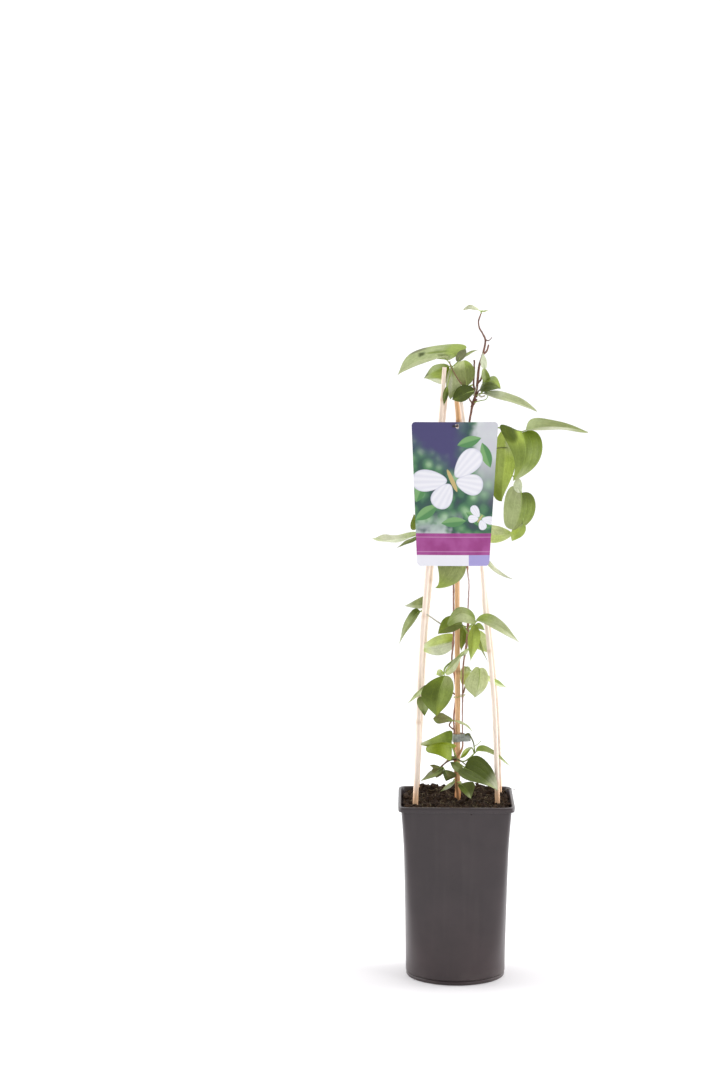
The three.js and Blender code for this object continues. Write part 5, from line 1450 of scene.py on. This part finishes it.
def label_row(z, columns, side):
    """One row of card points; side is -1 on the printed front and 1 on the back."""
    share = (z - LABEL_BOTTOM) / (LABEL_TOP - LABEL_BOTTOM)
    left = LABEL_BOTTOM_SPAN[0] + (LABEL_TOP_SPAN[0] - LABEL_BOTTOM_SPAN[0]) * share
    right = LABEL_BOTTOM_SPAN[1] + (LABEL_TOP_SPAN[1] - LABEL_BOTTOM_SPAN[1]) * share
    near = min(LABEL_CORNER, z - LABEL_BOTTOM, LABEL_TOP - z)
    inset = LABEL_CORNER - math.sqrt(max(0.0, LABEL_CORNER ** 2 - (LABEL_CORNER - near) ** 2))
    xs = np.linspace(left + inset, right - inset, columns + 1)
    return [(x, label_depth(x) + side * LABEL_THICK / 2, z) for x in xs]


def sheet_faces(rows, columns):
    """Faces of a closed sheet: a grid of front points, then the same grid of back points."""
    width = columns + 1
    back = (rows + 1) * width
    faces = []
    for r in range(rows):
        for c in range(columns):
            a, b, d, e = r * width + c, r * width + c + 1, (r + 1) * width + c + 1, (r + 1) * width + c
            faces += [(a, b, d, e), (a + back, e + back, d + back, b + back)]
        left, above = r * width, (r + 1) * width
        right, above_right = left + columns, above + columns
        faces.append((left, above, above + back, left + back))
        faces.append((above_right, right, right + back, above_right + back))
    top = rows * width
    for c in range(columns):
        faces.append((c + 1, c, c + back, c + 1 + back))
        faces.append((top + c, top + c + 1, top + c + 1 + back, top + c + back))
    return faces


def make_label():
    corner = LABEL_CORNER * (1 - np.cos(np.linspace(0, math.pi / 2, CORNER_ROWS)))
    heights = [LABEL_BOTTOM + c for c in corner]
    low, high = LABEL_BOTTOM + LABEL_CORNER, LABEL_TOP - LABEL_CORNER
    heights += list(np.linspace(low, high, LABEL_ROWS)[1:-1])
    heights += [LABEL_TOP - c for c in corner[::-1]]
    points = [p for side in (-1, 1) for z in heights for p in label_row(z, LABEL_COLUMNS, side)]
    shape = Shape(printed="FLOAT")
    half = len(points) // 2
    faces = sheet_faces(len(heights) - 1, LABEL_COLUMNS)
    shape.add(points, faces, printed=[1.0] * half + [0.0] * half)
    card = shape.build("printed_label", label_finish())
    x, z, radius = LABEL_HOLE
    punch = Shape()
    rod = cylinder_points(x, z, LABEL_DEPTH - 6, LABEL_DEPTH + 8, radius, PUNCH_SIDES)
    punch.add([(px, pz, py) for px, py, pz in rod], [face[::-1] for face in skin_faces(2, PUNCH_SIDES)])
    cut(card, punch.build("label_punch"))
    card.data.set_sharp_from_angle(angle=math.radians(40))
    hand_over(card, "label_card", "plant_label")


def make_label_tie(sweep):
    x, z, _ = LABEL_HOLE
    turns = np.linspace(-math.pi / 2, 3 * math.pi / 2, 60)
    loop_x, loop_y, reach = TIE_LOOP
    loop = [(loop_x + reach * math.cos(t), loop_y + reach * math.sin(t), z + 1) for t in turns]
    front = label_depth(x) - LABEL_THICK / 2
    neck = smooth_line([(x, front - 1.6, z), (x, -10, z - 0.6), (loop_x, loop_y - reach, z + 1)], 30)
    bar = smooth_line(
        [(x + 1.5, front - 1.5, z), (x - 2, front - 1.7, z - 0.1), (x - 5.5, front - 1.4, z - 0.3)], 17,
    )
    lines = [
        (loop, [0.8] * len(loop)), (neck, [0.75] * len(neck)),
        (bar, 1.15 - 0.35 * np.abs(np.linspace(-1, 1, len(bar))) ** 4),
    ]
    finish = plain_finish("soft_dark_plastic", (34, 30, 34), (52, 46, 50), 0.42, 300.0, 0.00005)
    mesh = sweep.mesh("card_tie", lines, Sides=12, Wander=0.0004, Wander_Scale=300.0, Finish=finish)
    hand_over(piece_of("card_tie", mesh, sharp=50), "tie_dark", "label_tie")


def make_tape():
    line = smooth_line([(x, y, 0) for x, y in TAPE_ROUTE], 150)
    along = np.gradient(line, axis=0)
    along /= np.linalg.norm(along, axis=1)[:, None]
    across = np.stack([along[:, 1], -along[:, 0], along[:, 2]], axis=1)
    points = []
    for side in (-1, 1):
        for r in range(TAPE_ROWS + 1):
            rise = r / TAPE_ROWS
            for k, (spot, out) in enumerate(zip(line, across)):
                sag = 0.5 * math.sin(k * 0.09) * (1 - rise) + 0.3 * math.sin(k * 0.06 + 2) * rise
                thick = 0.35 + 0.06 * math.cos(rise * TAPE_RIBS * 2 * math.pi)
                place = spot + out * side * thick
                points.append((place[0], place[1], TAPE_FOOT + TAPE_WIDTH * rise + sag))
    shape = Shape()
    shape.add(points, [face[::-1] for face in sheet_faces(TAPE_ROWS, len(line) - 1)])
    tape = shape.build("binding_tape", tape_finish(), sharp=50)
    hand_over(tape, "grey_tape", "tape_tie")


def make_wire_tie(sweep):
    turns = np.linspace(-0.4, 2 * math.pi - 0.6, 70)
    beat = [(math.cos(t), math.sin(t), math.cos(t)) for t in turns]
    loop = [[c + r * b for c, r, b in zip(WIRE_CENTRE, WIRE_REACH, beats)] for beats in beat]
    finish = plain_finish("coated_wire", (140, 148, 84), (176, 182, 116), 0.45, 300.0, 0.00005)
    mesh = sweep.mesh("garden_wire", [(loop, [WIRE_RADIUS] * len(loop))], Sides=8, Finish=finish)
    hand_over(piece_of("garden_wire", mesh, sharp=50), "raffia_wire", "wire_tie")


# ---- leaves ----

def trait(blade, name, across):
    """A trait of the blade's outline, its own or its form's; a pair holds one for each half."""
    value = blade.get(name, LEAF_FORMS[blade["form"]][name])
    left, right = value if isinstance(value, tuple) else (value, value)
    return np.where(across < 0, left, right)


def blade_spread(blade, along, across):
    power = math.log(0.5) / np.log(trait(blade, "peak", across))
    rise = np.sin(math.pi * np.clip(along, 0.0005, 0.999) ** power)
    base = trait(blade, "base_curve", across)
    sharp = base + (trait(blade, "blunt", across) - base) * along
    return np.maximum(0.02, np.abs(rise) ** sharp)


def blade_points(blade, along, across):
    """Points of the blade's middle layer; along runs 0 to 1, across -1 to 1."""
    base, tip = np.array(blade["base"], float), np.array(blade["tip"], float)
    length = np.linalg.norm(tip - base)
    ahead = (tip - base) / length
    face = np.array(blade["face"], float)
    up = unit(face - ahead * face.dot(ahead))
    side = np.cross(ahead, up)
    spread = blade_spread(blade, along, across)
    lean = blade.get("lean", 0)
    half = spread * blade["width"] / 2 * np.where(across < 0, 1 + lean, 1 - lean)
    back = trait(blade, "lobe", across) * spread * np.abs(across) * (1 - along) ** 3
    fold = math.radians(blade.get("fold", 0))
    bulge = 4 * along * (1 - along) * length
    beat = 11 * along + np.where(across > 0, 1.3, 0)
    wave = blade.get("ripple", BLADE_RIPPLE) * np.sin(beat) * across ** 2 * spread
    band = np.abs(across) * 2.6 % 1
    puff = BLADE_PUFF * blade["width"] * np.sin(math.pi * band) * np.sin(math.pi * along) ** 0.6 * spread
    seed = base[0] * 0.37 + base[2] * 0.11
    drift = BLADE_DRIFT * blade["width"] * np.sin(5 * along + 3.1 * across + seed) * spread
    crease = np.sqrt(across ** 2 + 0.0025) - 0.05
    droop = -blade.get("droop", 0) * length * np.maximum(0, along - 0.55) ** 2
    points = base + np.outer(along - back, ahead) * length
    points += np.outer(across * half * math.cos(fold) + blade.get("sweep", 0) * bulge, side)
    arch = blade.get("arch", BLADE_ARCH) * bulge
    lift = crease * half * math.sin(fold) + arch + wave + puff + drift + droop
    return points + np.outer(lift, up)


def tone_run(names, along):
    """Colour at each place along a half whose tones are named from base to tip."""
    tones = np.array([linear(LEAF_TONES_AND_SHADES[name]) for name in names.split()])
    place = along * (len(tones) - 1)
    first = np.clip(place.astype(int), 0, max(len(tones) - 2, 0))
    share = step(place - first, 0.15, 0.85)[:, None]
    return tones[first] * (1 - share) + tones[np.minimum(first + 1, len(tones) - 1)] * share


def blade_tones(blade, along, across):
    """Colour of the upper side at each point, from the tones of the two halves and of each mark, painted
    light and shade among them.
    """
    colour = tone_run(blade["left"], along)
    right = tone_run(blade.get("right", blade["left"]), along)
    colour = colour + step(across, -0.14, 0.14)[:, None] * (right - colour)
    for name, u, v, length, width in blade.get("marks", []):
        near = 1 - ((along - u) / length) ** 2 - ((across - v) / width) ** 2
        share = step(near, 0, 0.6)[:, None]
        colour = colour + share * (tone_run(name, along) - colour)
    return colour


def add_blade(shape, blade):
    length = np.linalg.norm(np.array(blade["tip"]) - np.array(blade["base"]))
    rows = int(np.clip(length / ROW_STEP, *ROW_RANGE))
    columns = 2 * int(np.clip(blade["width"] / COLUMN_STEP, *COLUMN_RANGE))
    u = (1 - np.cos(np.linspace(0, 1, rows + 1) * math.pi)) / 2
    v = np.linspace(-1, 1, columns + 1)
    along, across = (grid.ravel() for grid in np.meshgrid(u, v, indexing="ij"))
    points = blade_points(blade, along, across)
    du = blade_points(blade, np.minimum(along + NUDGE, 1), across)
    du -= blade_points(blade, np.maximum(along - NUDGE, 0), across)
    dv = blade_points(blade, along, np.minimum(across + NUDGE, 1))
    dv -= blade_points(blade, along, np.maximum(across - NUDGE, -1))
    normal = np.cross(dv, du)
    normal /= np.maximum(np.linalg.norm(normal, axis=1), 1e-9)[:, None]
    upper = blade_tones(blade, along, across)
    under = upper + 0.55 * (np.array(linear(LEAF_TONES_AND_SHADES[blade.get("under", "mist")])) - upper)
    seed = np.full(len(along), (abs(blade["base"][0] * 7.3 + blade["base"][2] * 3.1)) % 50)
    flat = np.stack([along * length * MM, across * blade["width"] / 2 * MM, seed * 0.01], axis=1)
    ones = np.ones(len(along))
    place = [np.stack([along, across, ones * top], axis=1) for top in (1, 0)]
    tone = [np.concatenate([side, ones[:, None]], axis=1) for side in (upper, under)]
    shape.add(
        np.concatenate([points + normal * BLADE_THICK / 2, points - normal * BLADE_THICK / 2]),
        sheet_faces(rows, columns), 0, leaf_place=np.concatenate(place),
        leaf_flat=np.concatenate([flat, flat]), leaf_tone=np.concatenate(tone),
    )


def stalk_line(points, samples, girth, thinner):
    line = smooth_line(points, samples)
    return line, tapered(line, girth, girth * thinner)


def rib_lines(leaf):
    """A branch from the fork to each blade that runs on as the rib under it."""
    lines = []
    fork = np.array(leaf["stalk"][-1], float)
    for blade in leaf["blades"]:
        rib = blade_points(blade, np.array(RIB_PLACES), np.zeros(len(RIB_PLACES)))
        rib = rib - unit(np.array(blade["face"], float)) * RIB_INSET
        line = smooth_line([fork, *rib[1:]], RIB_SAMPLES)
        lines.append((line, tapered(line, STALK_RADIUS * 0.8, RIB_TIP)))
    return lines


def add_rods(shape, name, lines, sweep, tone):
    rods = sweep.mesh(name, lines, Sides=STALK_SIDES, Wander=0.0003, Wander_Scale=200.0)
    points = np.zeros(len(rods.vertices) * 3)
    rods.vertices.foreach_get("co", points)
    points = points.reshape(-1, 3) / MM
    colour = np.tile((*linear(STALK_TONES[tone]), 1.0), (len(points), 1))
    shape.add(points, [tuple(p.vertices) for p in rods.polygons], 1, leaf_tone=colour)


def make_leaf(name, leaf, sweep, finishes):
    shape = Shape(leaf_tone="FLOAT_COLOR", leaf_place="FLOAT_VECTOR", leaf_flat="FLOAT_VECTOR")
    for blade in leaf["blades"]:
        add_blade(shape, blade)
    stalk = stalk_line(leaf["stalk"], 6 * len(leaf["stalk"]), STALK_RADIUS * 1.15, 0.87)
    add_rods(shape, name + "_stalk", [stalk], sweep, leaf.get("stalk_colour", "green"))
    add_rods(shape, name + "_ribs", rib_lines(leaf), sweep, "green")
    for tone, girth, points in leaf.get("twigs", []):
        add_rods(shape, name + "_twig", [stalk_line(points, 24, girth, 0.7)], sweep, tone)
    piece = shape.build(name.replace("_leaf", "_leaflets"), *finishes, sharp=48)
    hand_over(piece, "leaf_green", name)


# ---- camera, light and floor ----

FLOOR_NEAR_GLOW = (0.15, 0.15, 0.15, 1.0)
FLOOR_FAR_GLOW = (1.0, 1.0, 1.0, 1.0)
# Radii of the floor's rings from the outside in.
FLOOR_RADII = (60000, 6000, 600)
FLOOR_SIDES = 64
# Brightness of the walls on the camera's side and behind the plant.
WALL_FRONT, WALL_BACK = 0.52, 1.4
# Name, place, the point it faces, width and height, all in metres, and power in watts.
SOFTBOXES = [
    ("key_softbox", (2.0, -1.7, 1.7), (0, 0, 0.4), (0.9, 0.9), 16.0),
    ("left_softbox", (-1.6, 0.3, 0.8), (0, 0, 0.35), (1.0, 1.6), 20.0),
    ("right_softbox", (1.6, 0.3, 0.8), (0, 0, 0.35), (1.0, 1.6), 20.0),
    ("top_softbox", (0.2, 0.3, 2.8), (0, 0, 0.3), (1.4, 1.4), 6.0),
]
# Place in metres, dip and turn in degrees, lens and sensor in millimetres.
CAMERA_PLACE = (-0.052, -3.137, 0.833)
CAMERA_DIP = 5.6
CAMERA_TURN = 1.15
CAMERA_LENS = 88.33
CAMERA_SENSOR = 36.0


def make_floor():
    """A round pale floor that glows a little away from the plant, so that it fades into the walls."""
    paint = Finish("pale_floor")
    cloudy = paint.cloud(paint.place, 1.2, 2.0)
    across, away, _ = paint.split(paint.place)
    # The floor's colour is painted a little darker in front of the plant than behind it, a painted shade;
    # its glow, weak near and in front of the plant, is painted light.
    behind = away.between(-0.1, 0.9)
    far = (across * across + away * away).between(0.7, 2.2)
    colour = paint.blend(behind, rgba((233, 231, 233)), rgba((240, 240, 241)))
    colour = paint.blend(cloudy * 0.2, colour, rgba((228, 227, 228)))
    glow = paint.blend(behind + far, FLOOR_NEAR_GLOW, FLOOR_FAR_GLOW)
    finish = paint.finish(colour, 0.8, Emission_Color=glow, Emission_Strength=0.16, Specular_IOR_Level=0.2)
    shape = Shape()
    angles = np.linspace(0, 2 * math.pi, FLOOR_SIDES, endpoint=False)
    points = [(r * math.cos(a), r * math.sin(a), 0) for r in FLOOR_RADII for a in angles]
    shape.add(points, skin_faces(len(FLOOR_RADII), FLOOR_SIDES, first_cap=False))
    shape.build("studio_floor", finish)


def area_light(name, place, target, size, power):
    light = bpy.data.lights.new(name, "AREA")
    light.shape = "RECTANGLE"
    light.size, light.size_y = size
    light.energy = power
    lamp = bpy.data.objects.new(name, light)
    lamp.location = place
    lamp.rotation_euler = (Vector(target) - Vector(place)).to_track_quat("-Z", "Y").to_euler()
    lamp.visible_camera = False
    bpy.context.scene.collection.objects.link(lamp)


def make_studio():
    """White walls, brightest behind the plant, a soft key from the right and a tall softbox at each side."""
    world = bpy.data.worlds.new("white_studio")
    world.use_nodes = True
    sky = Tree(world.node_tree)
    heading = sky.add("ShaderNodeTexCoord", output=0)
    backward = sky.add("ShaderNodeSeparateXYZ", None, {0: heading}, 1).between(-0.95, 0.6)
    dim, bright = ((grey, grey, grey, 1.0) for grey in (WALL_FRONT, WALL_BACK))
    tone = sky.add("ShaderNodeMix", {"data_type": "RGBA"}, {0: backward, 6: dim, 7: bright}, 2)
    world.node_tree.links.new(tone.socket, world.node_tree.nodes["Background"].inputs["Color"])
    scene = bpy.context.scene
    scene.world = world
    scene.view_settings.view_transform = "Standard"
    for softbox in SOFTBOXES:
        area_light(*softbox)


def make_camera():
    """A long lens level with the top of the plant, a little to the left, looking slightly down."""
    lens = bpy.data.cameras.new("view")
    lens.sensor_width = CAMERA_SENSOR
    lens.lens = CAMERA_LENS
    lens.clip_end = 200.0
    camera = bpy.data.objects.new("view", lens)
    camera.location = CAMERA_PLACE
    camera.rotation_euler = (math.radians(90 - CAMERA_DIP), 0.0, math.radians(CAMERA_TURN))
    bpy.context.scene.collection.objects.link(camera)
    bpy.context.scene.camera = camera


def build():
    sweep = RodSweep()
    make_camera()
    make_studio()
    make_floor()
    make_pot()
    soil = make_soil()
    make_crumbs(soil)
    make_fibres(sweep)
    make_stump()
    make_canes(sweep)
    make_stems(sweep)
    make_label()
    make_label_tie(sweep)
    make_tape()
    make_wire_tie(sweep)
    finishes = (leaf_finish(), stalk_finish())
    for name, leaf in LEAVES.items():
        make_leaf(name, leaf, sweep, finishes)


build()
